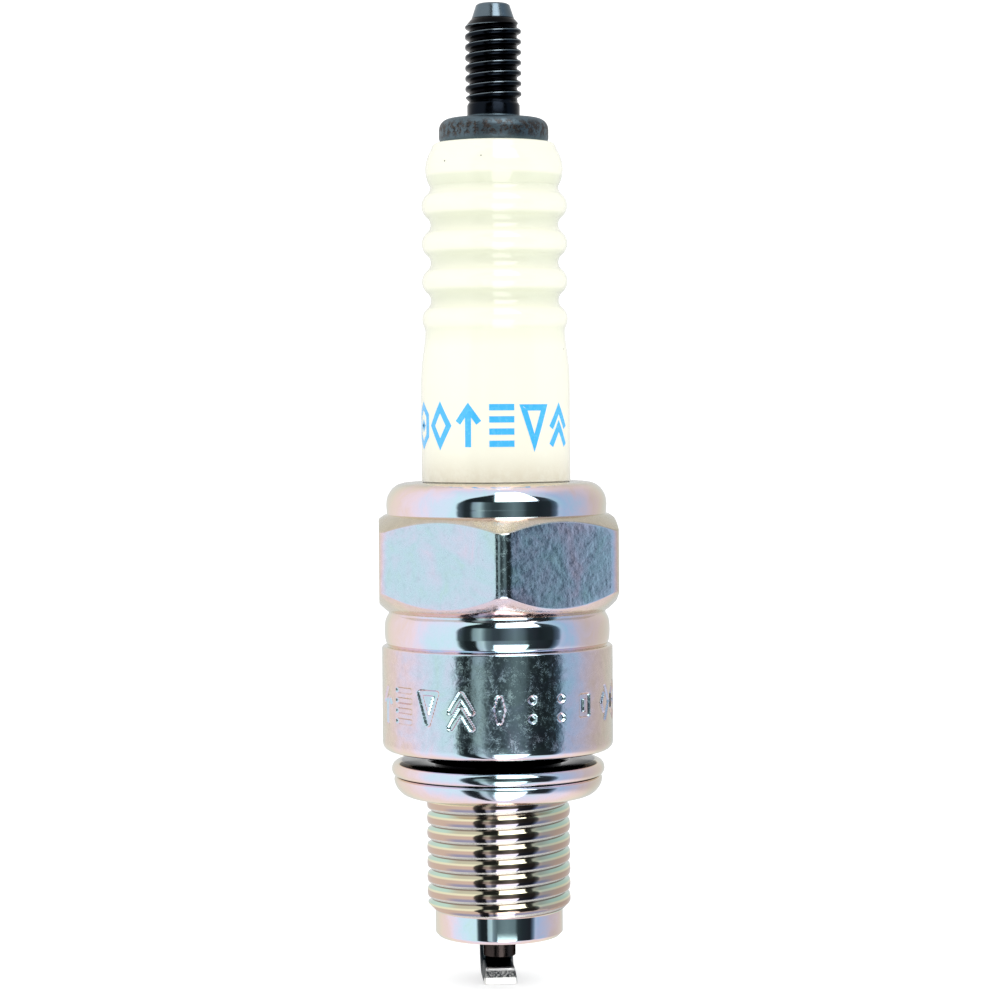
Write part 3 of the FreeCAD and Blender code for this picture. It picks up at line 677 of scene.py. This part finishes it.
# Plain shapes in a box one unit high with its middle at zero: (closed, points).
SHAPES = {
    "nut": [(True, [(0, -0.43), (0.24, -0.22), (0.24, 0.22), (0, 0.43), (-0.24, 0.22),
                    (-0.24, -0.22)]),
            (True, [(0, -0.04), (0.04, 0), (0, 0.04), (-0.04, 0)])],
    "diamond": [(True, [(0, -0.40), (0.25, 0), (0, 0.40), (-0.25, 0)])],
    "arrow": [(False, [(0, -0.46), (0, 0.30)]), (False, [(-0.24, 0.06), (0, 0.38), (0.24, 0.06)])],
    "rungs": [(False, [(-0.27, height), (0.27, height)]) for height in (-0.39, -0.13, 0.13, 0.39)],
    "wedge": [(True, [(0, -0.38), (0.26, 0.38), (-0.26, 0.38)])],
    "chevrons": [(False, [(-0.27, -0.06), (0, 0.36), (0.27, -0.06)]),
                 (False, [(-0.27, -0.44), (0, -0.02), (0.27, -0.44)])],
    "pips": [(True, [(0, 0.22), (0.04, 0.26), (0, 0.30), (-0.04, 0.26)]),
             (True, [(0, -0.30), (0.04, -0.26), (0, -0.22), (-0.04, -0.26)])],
    "lozenge": [(True, [(0, -0.34), (0.09, 0), (0, 0.34), (-0.09, 0)])],
    "cell": [(True, [(-0.16, -0.30), (0.16, -0.30), (0.16, 0.30), (-0.16, 0.30)])],
}


def stroke_edges(points, closed, width):
    """Left and right edge of a stroke of constant width, with mitred corners."""
    points = np.array(points, float)
    count = len(points)
    left, right = [], []
    for index, here in enumerate(points):
        before = points[index - 1] if closed or index else here
        after = points[(index + 1) % count] if closed or index < count - 1 else here
        ways = [unit(step) for step in (here - before, after - here) if np.any(step)]
        along = unit(sum(ways))
        normal = np.array([-along[1], along[0]])
        first = np.array([-ways[0][1], ways[0][0]])
        offset = normal * width / 2 / max(0.35, normal @ first)
        left.append(here + offset)
        right.append(here - offset)
    return np.array(left), np.array(right)


def divided(edge, closed, step):
    """The same edge with extra points, so that it can wrap round a cylinder."""
    points = []
    count = len(edge)
    for index in range(count if closed else count - 1):
        here, there = edge[index], edge[(index + 1) % count]
        points += [here + (there - here) * share for share in np.arange(step) / step]
    if not closed:
        points.append(edge[-1])
    return np.array(points)


def wrapped_strokes(marks, radius, width, thickness):
    """Mesh of thin closed strokes that wrap round a cylinder."""
    points, faces = [], []
    for shape, angle, height, size in marks:
        for closed, path in SHAPES[shape]:
            scaled = [(x * size, y * size) for x, y in path]
            left, right = stroke_edges(scaled, closed, width)
            left, right = divided(left, closed, 8), divided(right, closed, 8)
            first = len(points)
            for side in (left, right):
                for lift in (-thickness, thickness):
                    for across, up in side:
                        turn = math.radians(angle - 90) + across / radius
                        reach = radius + lift
                        points.append((reach * math.cos(turn), reach * math.sin(turn), height + up))
            faces += stroke_faces(first, len(left), closed)
    return solid_mesh(points, faces)


def stroke_faces(first, count, closed):
    """Faces of one stroke, whose points come as left low, left high, right low, right high."""
    loop = [first + side * count for side in (0, 1, 3, 2)]
    faces = []
    for index in range(count if closed else count - 1):
        after = (index + 1) % count
        for low, high in zip(loop, loop[1:] + loop[:1]):
            faces.append((low + index, high + index, high + after, low + after))
    if not closed:
        faces.append(tuple(loop[::-1]))
        faces.append(tuple(row + count - 1 for row in loop))
    return faces


def stamp_depth(angles, heights, marks, radius, width, depth):
    """How far the stamped strokes press in at each angle and height, an array."""
    across = angles * radius
    pressed = np.zeros(np.broadcast(across, heights).shape)
    girth = math.tau * radius
    for shape, angle, height, size in marks:
        middle = math.radians(angle - 90) * radius
        x = (across - middle + girth / 2) % girth - girth / 2
        y = heights - height
        for closed, path in SHAPES[shape]:
            count = len(path)
            for index in range(count if closed else count - 1):
                ax, ay = (value * size for value in path[index])
                bx, by = (value * size for value in path[(index + 1) % count])
                length = (bx - ax) ** 2 + (by - ay) ** 2
                share = np.clip(((x - ax) * (bx - ax) + (y - ay) * (by - ay)) / length, 0, 1)
                gap = np.hypot(x - ax - share * (bx - ax), y - ay - share * (by - ay))
                edge = np.clip((width / 2 - gap) / (width * 0.35) + 0.5, 0, 1)
                pressed = np.maximum(pressed, edge * edge * (3 - 2 * edge))
    return pressed * depth


# ---- Terminal stud ----

STUD_CREST = 1.90
STUD_PLAIN = 2.78
CONE_LENGTH = 1.1


def make_stud(material):
    """M4 end with its lead-in cone, neck and flange, then the hidden shank and foot."""
    top = stud_high.z - 0.10
    seat = insulator_high.z
    flange = stud_high.x
    foot = stud_low.z
    crest, root, pitch = STUD_CREST, 1.62, 0.7
    neck_radius, cone_radius, end_radius = 1.78, 1.46, 1.12
    cone_foot = top - CONE_LENGTH
    thread_foot = seat + STUD_PLAIN
    skin = Skin(160)
    below = skin.rings(rounded([
        (0.0, foot), (1.3, foot, 0.15, 2), (1.3, foot + 4.6), (1.5, foot + 4.6, 0.1, 2),
        (1.5, seat), (flange - 0.10, seat, 0.08, 3), (flange, seat + 0.30),
        (flange, seat + 1.60, 0.74, 10), (2.5, seat + 1.66),
        (neck_radius, seat + 1.72, 0.12, 3), (neck_radius, thread_foot - 0.25),
        (neck_radius - 0.06, thread_foot - 0.12), (root, thread_foot)])[1:])
    pole = skin.ring(0.0, foot)
    thread_top = cone_foot - 0.02
    above = skin.rings(rounded([
        (root - 0.08, thread_top), (cone_radius, cone_foot + 0.05, 0.05, 2),
        (end_radius + 0.02, top - 0.10, 0.10, 4), (end_radius - 0.14, top, 0.05, 2),
        (0.6, top - 0.012), (0.3, top - 0.02)]))
    tip = skin.ring(0.0, top - 0.02)
    outline_z = [thread_foot, thread_foot + 0.28, cone_foot - 0.45, thread_top]
    outline_r = [root, crest, crest, root - 0.08]
    skin.bridge([pole] + below)
    groove = thread_groove(crest, root, pitch, 0.13, 0.035, 0.07)
    skin.thread(below[-1], above[0], thread_foot, thread_top, pitch, groove, (outline_z, outline_r))
    skin.bridge(above + [tip])
    return new_piece("terminal_stud_turned", skin.mesh(), material, "terminal_stud", sharp=40)


# ---- Insulator ----

BARREL_RADIUS = 5.05
FIRST_RIB, RIB_PITCH, RIBS = 29.15, 2.55, 4


def make_insulator(material):
    """Nose, waist, glazed barrel, ribs with full crests and tight valleys, and the bore."""
    top = insulator_high.z
    tip = insulator_low.z
    glaze_foot = shell_high.z + 0.04
    nose_and_waist = rounded([
        (1.15, tip + 0.3), (1.15, tip, 0.05, 2), (1.75, tip, 0.30, 5), (2.40, -4.1, 0.1, 2),
        (3.35, -3.55, 0.1, 2), (3.35, 2.4), (5.85, 4.4, 0.3, 3), (5.85, 10.4, 0.2, 2),
        (4.88, 11.4), (4.88, glaze_foot), (BARREL_RADIUS, glaze_foot + 0.03)])
    taper = smooth_line([(BARREL_RADIUS, glaze_foot + 0.2), (BARREL_RADIUS, 21.0),
                         (BARREL_RADIUS, 24.0), (5.04, 25.1), (4.99, 26.0), (4.89, 26.8),
                         (4.80, 27.5), (4.75, 27.9), (4.73, 28.3)], 0.1)[:-1]
    crest, valley, pitch = 4.93, 4.33, RIB_PITCH
    crest_curve = 1.0
    ribs = flank((4.73, 28.3), (crest, FIRST_RIB), crest_curve)
    for rib in range(RIBS):
        here = FIRST_RIB + rib * pitch
        ribs += flank((crest, here), (valley, here + pitch / 2), crest_curve)
        if rib < RIBS - 1:
            ribs += flank((valley, here + pitch / 2), (crest, here + pitch), crest_curve)
    ribs += flank((valley, here + pitch / 2), (4.66, 39.3), 2.4)
    ribs += smooth_line([(4.66, 39.3), (4.60, 39.75), (4.45, 40.22), (4.27, 40.55)], 0.07)
    end_and_bore = rounded([(4.27, 40.55), (4.10, top, 0.3, 6), (3.7, top), (1.6, top, 0.15, 3),
                            (1.6, -2.0), (1.15, -2.0)])[1:]
    skin = Skin(256)
    skin.bridge(skin.rings(nose_and_waist + taper + ribs + end_and_bore), closed=True)
    return new_piece("insulator_glazed", skin.mesh(), material, "insulator")


def make_print(material):
    """Band of plain blue shapes round the barrel."""
    shapes = ["nut", "diamond", "arrow", "rungs", "wedge", "chevrons"]
    size, height = 3.1, 22.0
    first_angle, spacing = -73.0, 25.9
    line_width, ink_thickness = 0.42, 0.012
    marks = [(shape, first_angle + index * spacing, height, size)
             for index, shape in enumerate(shapes)]
    mesh = wrapped_strokes(marks, BARREL_RADIUS, line_width, ink_thickness)
    return new_piece("printed_band", mesh, material, sharp=40)


# ---- Metal shell ----

# Stamped marks: shape, angle round the shell from the front, height, size.
STAMPS = [(shape, angle, 3.42, 2.65) for shape, angle in (
    ("arrow", -69.5), ("rungs", -53.0), ("wedge", -36.0), ("diamond", 66.0), ("nut", 80.0),
    ("nut", 150.0), ("diamond", 166.0), ("arrow", 182.0), ("rungs", 198.0))]
STAMPS += [("chevrons", -18.0, 3.42, 2.75), ("lozenge", 1.0, 3.42, 2.2),
           ("pips", 17.0, 3.42, 2.4), ("pips", 32.5, 3.42, 2.4), ("cell", 47.5, 3.45, 2.0)]
STAMP_WIDTH, STAMP_DEPTH = 0.36, 0.13
BAND_RADIUS = 7.84
HEX_TURN = 2.5
PILOT_LENGTH = 1.75
NECK_LENGTH = 1.4
SHELL_PITCH = 1.0


def hexagon_radius(angles, flat, corner_fillet, turn):
    """Distance from the axis to a hexagon with rounded corners, in each direction."""
    sector = (np.degrees(angles) - turn) % 60.0
    from_flat = np.radians(np.abs(sector - 30.0))
    straight = flat / np.cos(from_flat)
    centre = (flat - corner_fillet) / math.cos(math.radians(30))
    from_corner = math.radians(30) - from_flat
    side = centre * np.sin(from_corner)
    curved = centre * np.cos(from_corner) + np.sqrt(np.maximum(corner_fillet**2 - side**2, 0))
    tangent = math.atan((flat - corner_fillet) * math.tan(math.radians(30)) / flat)
    return np.where(from_flat < tangent, straight, curved)


def make_shell(material):
    """Threaded, stamped, hexagonal and crimped shell, in one closed skin."""
    foot = shell_low.z
    top = shell_high.z
    skin = Skin(600, first_angle=-90.0 + HEX_TURN)
    half_across_flats, corner_fillet = 8.0, 1.15
    flats = hexagon_radius(skin.angles, half_across_flats, corner_fillet, HEX_TURN - 90.0)
    crest, root = 4.88, 4.58
    pilot, neck = 4.34, 4.30
    pilot_top, neck_foot = foot + PILOT_LENGTH, -NECK_LENGTH

    mouth = skin.rings(rounded([
        (3.2, foot + 1.0), (3.2, foot, 0.06, 2), (pilot - 0.22, foot, 0.08, 3),
        (pilot, foot + 0.24, 0.12, 3), (pilot, pilot_top - 0.1), (pilot, pilot_top)]))
    body = rounded([
        (neck, neck_foot), (neck, 0.0, 0.12, 3), (BAND_RADIUS, 0.0, 0.55, 8), (BAND_RADIUS, 1.0)])
    band = [(BAND_RADIUS - stamp_depth(skin.angles, z, STAMPS, BAND_RADIUS,
                                       STAMP_WIDTH, STAMP_DEPTH), z)
            for z in np.arange(1.2, 5.01, 0.045)]
    hex_foot, foot_radius = 9.42, 7.38
    swell = smooth_line([(7.44, 7.13), (7.52, 7.24), (7.60, 7.50), (7.64, 7.85), (7.645, 8.25),
                         (7.62, 8.65), (7.53, 8.98), (7.36, 9.28)], 0.07)
    ring_and_flats = rounded([
        (BAND_RADIUS, 5.4), (BAND_RADIUS, 7.09, 0.16, 4), (7.46, 7.09, 0.03, 1)])[:-1]
    proud = flats - foot_radius
    chamfer_low = [(foot_radius + proud * share, hex_foot + proud * share * (0.62 + 0.25 * share))
                   for share in (0.0, 0.2, 0.4, 0.6, 0.78)]
    flat_foot = hex_foot + proud * 0.87
    flat_top = 15.97 - (flats - 7.60) * 0.66
    hexagon = rounded([
        chamfer_low[-1], (flats, flat_foot, 0.20, 5), (flats, flat_foot + 0.5),
        (flats, flat_top - 0.5), (flats, flat_top, 0.22, 5), (7.62, 15.96, 0.12, 3),
        (7.44, 15.99, 0.05, 2), (7.47, 16.45)])[1:]
    collar = smooth_line([(7.47, 16.45), (7.475, 16.7), (7.43, 17.05), (7.30, 17.40),
                          (7.05, 17.75), (6.70, 18.00), (6.30, 18.12), (5.90, top)], 0.07)
    inside = rounded([
        (5.90, top), (4.98, top, 0.12, 3), (4.98, 17.19), (5.45, 17.05), (5.80, 16.7),
        (5.95, 16.22), (5.95, 4.0), (3.45, 2.0), (3.45, -3.80), (2.75, -4.2), (2.75, -5.0),
        (3.2, -5.45)])
    upper = skin.rings(body + band + ring_and_flats + swell + chamfer_low[:-1] + hexagon[:-1]
                       + collar + inside[1:])
    skin.bridge(mouth)
    edge = 0.55
    outline = ([pilot_top, pilot_top + edge, neck_foot - edge, neck_foot],
               [pilot, crest, crest, neck])
    groove = thread_groove(crest, root, SHELL_PITCH, 0.30, 0.05, 0.08)
    skin.thread(mouth[-1], upper[0], pilot_top, neck_foot, SHELL_PITCH, groove, outline)
    skin.bridge(upper)
    skin.bridge([upper[-1], mouth[0]])
    return new_piece("shell_plated", skin.mesh(), material, "metal_shell")


# ---- Gasket ----

def make_gasket(material):
    """Folded ring: a narrow upper fold, a deep seam and a fuller lower fold."""
    top, foot = gasket_high.z, gasket_low.z
    seam = top - 1.05
    skin = Skin(320)
    upper_fold = smooth_line([(6.93, seam + 0.03), (7.12, seam + 0.12), (7.235, seam + 0.38),
                              (7.20, seam + 0.68), (7.02, seam + 0.92), (6.66, top)], 0.05)
    lower_fold = smooth_line([(6.05, foot), (6.42, foot + 0.11), (6.76, foot + 0.38),
                              (7.00, foot + 0.76), (7.08, seam - 0.20), (6.93, seam - 0.03)], 0.05)
    inner = rounded([(6.66, top), (4.87, top, 0.12, 3), (4.62, top - 0.25, 0.1, 3),
                     (4.62, top - 0.95, 0.08, 3), (5.10, top - 1.20, 0.1, 3),
                     (5.10, foot, 0.12, 3), (6.05, foot)])
    seam_floor = [(6.72, seam)]
    rings = skin.rings(lower_fold + seam_floor + upper_fold + inner[1:-1])
    skin.bridge(rings, closed=True)
    return new_piece("gasket_folded", skin.mesh(), material, "gasket", sharp=50, body="gasket")


# ---- Electrodes ----

def make_center_electrode(material):
    """Round tip, plain rod, and the hidden head and boss."""
    tip = electrode_low.z
    head = -2.0
    skin = Skin(96)
    rings = [skin.ring(0.0, tip)] + skin.rings(rounded([
        (0.0, tip), (0.5, tip), (1.1, tip, 0.07, 4), (1.1, head), (1.5, head, 0.05, 2),
        (1.5, head + 1.2, 0.1, 2), (0.95, head + 1.2), (0.95, head + 2.4), (0.6, head + 2.4),
        (0.6, -12.3)])[1:])
    bottom = skin.ring(0.0, -12.3)
    skin.bridge(rings + [bottom])
    return new_piece("center_electrode_rod", skin.mesh(), material, "center_electrode")


STRAP_THICKNESS = 1.2
STRAP_OUTSIDE = 4.12
STRAP_END = -1.2
STRAP_TURN = 3.5


def strap_section():
    """Half-round-cornered section of the strap: (across, out) from its middle line."""
    outer, inner, half = 1.2, 0.97, STRAP_THICKNESS / 2
    corners = [(-inner, -half, 0.16, 4), (inner, -half, 0.16, 4), (outer, half, 0.24, 5),
               (-outer, half, 0.24, 5)]
    return np.array([point[0] for point in rounded(corners)])


def make_strap(material):
    """Ground electrode: leg, bend and free end, swept as one closed bar."""
    half = STRAP_THICKNESS / 2
    middle_z = strap_low.z + half
    leg_y = STRAP_OUTSIDE - half
    bend = 1.6
    reach = STRAP_END
    path = [(leg_y, shell_low.z + 0.02, 0.0), (leg_y, shell_low.z - 0.15, 0.0)]
    for angle in np.linspace(0, 90, 25):
        turn = math.radians(angle)
        path.append((leg_y - bend + bend * math.cos(turn),
                     middle_z + bend - bend * math.sin(turn), angle))
    for y in np.linspace(leg_y - bend, reach + 0.10, 18)[1:]:
        path.append((y, middle_z, 90.0))
    section = strap_section()
    count = len(section)
    points, faces = [], []
    swings = [(station, 1.0) for station in path]
    swings += [((reach + 0.05, middle_z, 90.0), 0.985), ((reach + 0.015, middle_z, 90.0), 0.955),
               ((reach, middle_z, 90.0), 0.90)]
    for (y, z, angle), scale in swings:
        turn = math.radians(angle)
        out_y, out_z = math.cos(turn), -math.sin(turn)
        near_end = 1 - min(1.0, (y - reach) / 0.5) if angle == 90.0 else 0.0
        for across, out in section * scale:
            rollover = 0.30 * near_end * max(0.0, out / half) ** 2
            points.append((across, y + out * out_y + rollover, z + out * out_z))
    for station in range(len(swings) - 1):
        for index in range(count):
            after = (index + 1) % count
            low_row, high_row = station * count, (station + 1) * count
            faces.append((low_row + index, low_row + after, high_row + after, high_row + index))
    faces.append(tuple(range(count))[::-1])
    last = (len(swings) - 1) * count
    faces.append(tuple(last + index for index in range(count)))
    turn = math.radians(STRAP_TURN)
    spun = [(x * math.cos(turn) - y * math.sin(turn), x * math.sin(turn) + y * math.cos(turn), z)
            for x, y, z in points]
    return new_piece(
        "ground_electrode_strap", solid_mesh(spun, faces), material, "ground_electrode")


# ---- Studio ----

def make_floor():
    """Wide pale floor that meets the plug's lowest point."""
    size = 4.0
    level = strap_low.z * MM
    mesh = bpy.data.meshes.new("floor")
    corners = [(-size, -size), (size, -size), (size, size), (-size, size)]
    mesh.from_pydata([(x, y, level) for x, y in corners], [], [(0, 1, 2, 3)])
    nodes = new_material("pale_floor")
    tone = nodes.mix(nodes.noise(0.02, 2.0), grey(0.46), grey(0.50))
    mesh.materials.append(finish_material(
        nodes, Base_Color=tone, Roughness=0.8, Specular_IOR_Level=0.2,
        Emission_Color=grey(1.0), Emission_Strength=0.62))
    floor = bpy.data.objects.new("floor", mesh)
    floor.visible_glossy = False
    bpy.context.scene.collection.objects.link(floor)


# Brightness by angle from the camera, where positive is to the camera's right.  The plug
# faces a dark gap between two soft walls: first as an upright mirror shows it, then as it
# looks lower down, where a pale table lies in the gap.
LEFT_WALL = [(-180, 0.72), (-130, 0.90), (-52, 1.00)]
RIGHT_WALL = [(80, 0.55), (110, 0.60), (150, 0.70), (180, 0.72)]
GAP_LEVEL = [
    *LEFT_WALL, (-47, 0.90), (-41, 0.14), (-33, 0.03), (-27, 0.03), (-24, 0.35), (-17, 0.55),
    (-14, 0.30), (-11, 0.12), (-4, 0.06), (2, 0.06), (8, 0.12), (18, 0.22), (26, 0.15),
    (32, 0.04), (44, 0.02), (58, 0.03), (64, 0.12), (70, 0.42), *RIGHT_WALL,
]
GAP_LOW = [
    *LEFT_WALL, (-44, 0.90), (-38, 0.08), (-33, 0.02), (-22, 0.02), (-20, 0.60), (-14, 0.75),
    (-11, 0.30), (-4, 0.16), (4, 0.24), (14, 0.27), (28, 0.22), (33, 0.05), (42, 0.03),
    (58, 0.02), (62, 0.12), (68, 0.42), *RIGHT_WALL,
]
GAP_HIGH = [*LEFT_WALL, (-46, 0.80), (-40, 0.08), (-34, 0.02), (50, 0.03), (58, 0.06),
            (64, 0.20), (70, 0.45), *RIGHT_WALL]
WALLS = [(-180, 0.75), (-130, 0.92), (-60, 0.98), (10, 1.00), (50, 0.75), (75, 0.58),
         (110, 0.60), (150, 0.72), (180, 0.75)]
# Angles in the same frame: the gap's round top as its centre (across, up) and its half
# sizes, then the lamp above and the table below as (low, high, blur) each way.
GAP_OVAL = (13.0, 2.0, 54.0, 62.0)
LAMP_SIDEWAYS = (-3.0, 48.0, 4.0)
LAMP_UPRIGHT = (21.0, 74.0, 6.0)
LAMP_LEVEL = 4.0
TABLE_SIDEWAYS = (-5.0, 34.0, 3.0)
TABLE_UPRIGHT = (-82.0, -15.0, 5.0)
TABLE_LEVEL = 3.0


def colour_around(nodes, share, levels):
    """Colour by angle, from (angle, level) stops; the darker it is, the cooler."""
    stops = []
    for angle, level in levels:
        cool = 0.10 * max(0.0, 1.0 - level / 0.8) + (0.16 if 60 < angle < 90 else 0.0)
        stops.append((angle / 360 + 0.5, (level * (1 - cool), level, level * (1 + cool))))
    return nodes.ramp(share, stops)


def patch_mask(nodes, degrees, sideways, climb, upright):
    """One inside a patch of the studio and zero outside: (low, high, blur) each way."""
    return nodes.times(nodes.within(degrees, *sideways), nodes.within(climb, *upright))


def make_world():
    """White studio that turns with the camera, as when a product turns on its stand."""
    world = bpy.data.worlds.new("studio")
    bpy.context.scene.world = world
    world.use_nodes = True
    nodes = Nodes(world.node_tree)
    way = nodes.parts(nodes.add("ShaderNodeTexCoord").outputs["Generated"])
    ahead = nodes.parts(nodes.add(
        "ShaderNodeVectorTransform", {"Vector": (0.0, 0.0, 1.0)}, vector_type="VECTOR",
        convert_from="CAMERA", convert_to="WORLD").outputs["Vector"])
    along = nodes.scaled(ahead["X"], way["X"], nodes.times(ahead["Y"], way["Y"]))
    rightwards = nodes.math(
        "SUBTRACT", nodes.times(ahead["Y"], way["X"]), nodes.times(ahead["X"], way["Y"]))
    turn = nodes.math("ARCTAN2", rightwards, nodes.times(along, -1.0))
    share = nodes.scaled(turn, 1 / math.tau, 0.5)
    degrees = nodes.times(turn, 180 / math.pi)
    climb = nodes.times(nodes.math("ARCSINE", way["Z"]), 180 / math.pi)

    gap = nodes.mix(nodes.span(climb, -7.5, -9.5), colour_around(nodes, share, GAP_LEVEL),
                    colour_around(nodes, share, GAP_LOW))
    gap = nodes.mix(nodes.span(climb, 18.0, 26.0), gap, colour_around(nodes, share, GAP_HIGH))
    centre_x, centre_z, half_width, half_height = GAP_OVAL
    across = nodes.math("DIVIDE", nodes.math("SUBTRACT", degrees, centre_x), half_width)
    above = nodes.math("MAXIMUM", nodes.math("SUBTRACT", climb, centre_z), 0.0)
    upward = nodes.math("DIVIDE", above, half_height)
    oval = nodes.scaled(across, across, nodes.times(upward, upward))
    dark_strip = nodes.times(nodes.span(degrees, -42.0, -38.0), nodes.span(degrees, -6.0, -9.0))
    gap_foot = nodes.span(dark_strip, 0.0, 1.0, -44.0, -88.0)
    in_gap = nodes.times(nodes.span(nodes.math("SUBTRACT", climb, gap_foot), 0.0, 12.0),
                         nodes.span(oval, 1.10, 0.94))
    walls = nodes.mix(nodes.span(climb, 40.0, 80.0), colour_around(nodes, share, WALLS), grey(0.90))
    walls = nodes.mix(nodes.span(climb, -20.0, -45.0), walls, rgb(0.95, 0.94, 0.93))
    shown = nodes.mix(in_gap, walls, gap)
    shown = nodes.mix(
        patch_mask(nodes, degrees, LAMP_SIDEWAYS, climb, LAMP_UPRIGHT), shown, grey(LAMP_LEVEL))
    shown = nodes.mix(
        patch_mask(nodes, degrees, TABLE_SIDEWAYS, climb, TABLE_UPRIGHT), shown, grey(TABLE_LEVEL))
    path = nodes.add("ShaderNodeLightPath").outputs
    even = nodes.mix(nodes.span(climb, -35.0, 45.0), grey(0.80), grey(1.16))
    colour = nodes.mix(path["Is Diffuse Ray"], shown, even)
    colour = nodes.mix(path["Is Camera Ray"], colour, grey(1.3))
    lit = nodes.add("ShaderNodeBackground", {"Color": colour, "Strength": 1.0})
    nodes.add("ShaderNodeOutputWorld", {"Surface": lit.outputs["Background"]})


def make_camera():
    """Long lens a little above the middle, looking slightly down."""
    sideways, distance, eye_height = 0.30, 190.0, 23.6
    pitch = 2.02
    roll = 0.41
    camera = bpy.data.objects.new("camera", bpy.data.cameras.new("camera"))
    camera.data.lens = 100.8
    camera.data.sensor_width = 36.0
    camera.data.clip_start = 0.01
    camera.data.clip_end = 20.0
    camera.location = Vector((sideways, -distance, eye_height)) * MM
    camera.rotation_euler = Euler((math.radians(90 - pitch), math.radians(roll), 0.0), "XYZ")
    bpy.context.scene.collection.objects.link(camera)
    bpy.context.scene.camera = camera


# ---- Build ----

SEAL_GLASS = (rgb(0.10, 0.06, 0.04), rgb(0.25, 0.15, 0.10), 0.2, 0.35, 8.0)
PLAIN_STEEL = (rgb(0.40, 0.41, 0.43), rgb(0.60, 0.61, 0.63), 1.0, 0.3, 4.0)

# Sealed pieces: the node, two tones, then how metallic, rough and fine its grain is.
HIDDEN_PIECES = [
    ("center_electrode_core", rgb(0.62, 0.30, 0.18), rgb(0.80, 0.45, 0.30), 1.0, 0.3, 3.0),
    ("resistor", rgb(0.02, 0.02, 0.022), rgb(0.06, 0.06, 0.065), 0.0, 0.6, 6.0),
    ("talc_ring", rgb(0.80, 0.80, 0.77), rgb(0.92, 0.92, 0.89), 0.0, 0.8, 5.0),
    ("upper_glass_seal", *SEAL_GLASS),
    ("lower_glass_seal", *SEAL_GLASS),
    ("packing_washer", *PLAIN_STEEL),
    ("upper_packing_ring", *PLAIN_STEEL),
    ("lower_packing_ring", *PLAIN_STEEL),
]

pilot_top = shell_low.z + PILOT_LENGTH
thread_start = pilot_top - SHELL_PITCH / 2 - (HEX_TURN - 90.0) / 360.0
cone_foot = stud_high.z - CONE_LENGTH
# Each hidden zone is painted near black as painted shade: the neck and the seat face under the
# shell, and the top of the gasket under the seat.
plated = plated_steel(
    "zinc_plated_steel", film_spread=0.75, roughness=0.05,
    matt_zones=[(0.4, 7.2), (9.2, 16.1), (17.8, 18.6)],
    hidden=(-NECK_LENGTH, 0.1, 7.2), bevels=(11.5, 16.05),
    thread=(pilot_top, -1.35, thread_start, SHELL_PITCH))
gasket_plate = plated_steel(
    "plated_gasket_steel", film_spread=0.45, roughness=0.09, matt_zones=[],
    hidden=(gasket_high.z - 0.5, gasket_high.z + 0.1, 6.5))
# The strap's and rod's tones are far darker than bare nickel: painted shade standing in for the
# dark surroundings they mirror.
strap_nickel = nickel_alloy("nickel_alloy", rgb(0.025, 0.035, 0.04), rgb(0.09, 0.11, 0.115),
                            sheared_end=(STRAP_END, strap_low.z, STRAP_THICKNESS))
rod_nickel = nickel_alloy("electrode_nickel", rgb(0.035, 0.025, 0.022), rgb(0.12, 0.095, 0.09))

make_stud(black_oxide(flange_top=insulator_high.z + 1.75,
                      thread_foot=insulator_high.z + STUD_PLAIN,
                      cone_foot=cone_foot, crest=STUD_CREST))
make_insulator(glazed_alumina(FIRST_RIB, RIB_PITCH, RIBS))
make_print(blue_ink())
make_shell(plated)
make_gasket(gasket_plate)
make_center_electrode(rod_nickel)
make_strap(strap_nickel)

for piece_name, tone_low, tone_high, metallic, roughness, scale in HIDDEN_PIECES:
    piece_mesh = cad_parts[piece_name].data
    piece_mesh.materials.clear()
    piece_mesh.materials.append(
        plain_grain(piece_name + "_grain", tone_low, tone_high, metallic, roughness, scale))

make_floor()
make_world()
make_camera()
bpy.context.scene.view_settings.view_transform = "Standard"
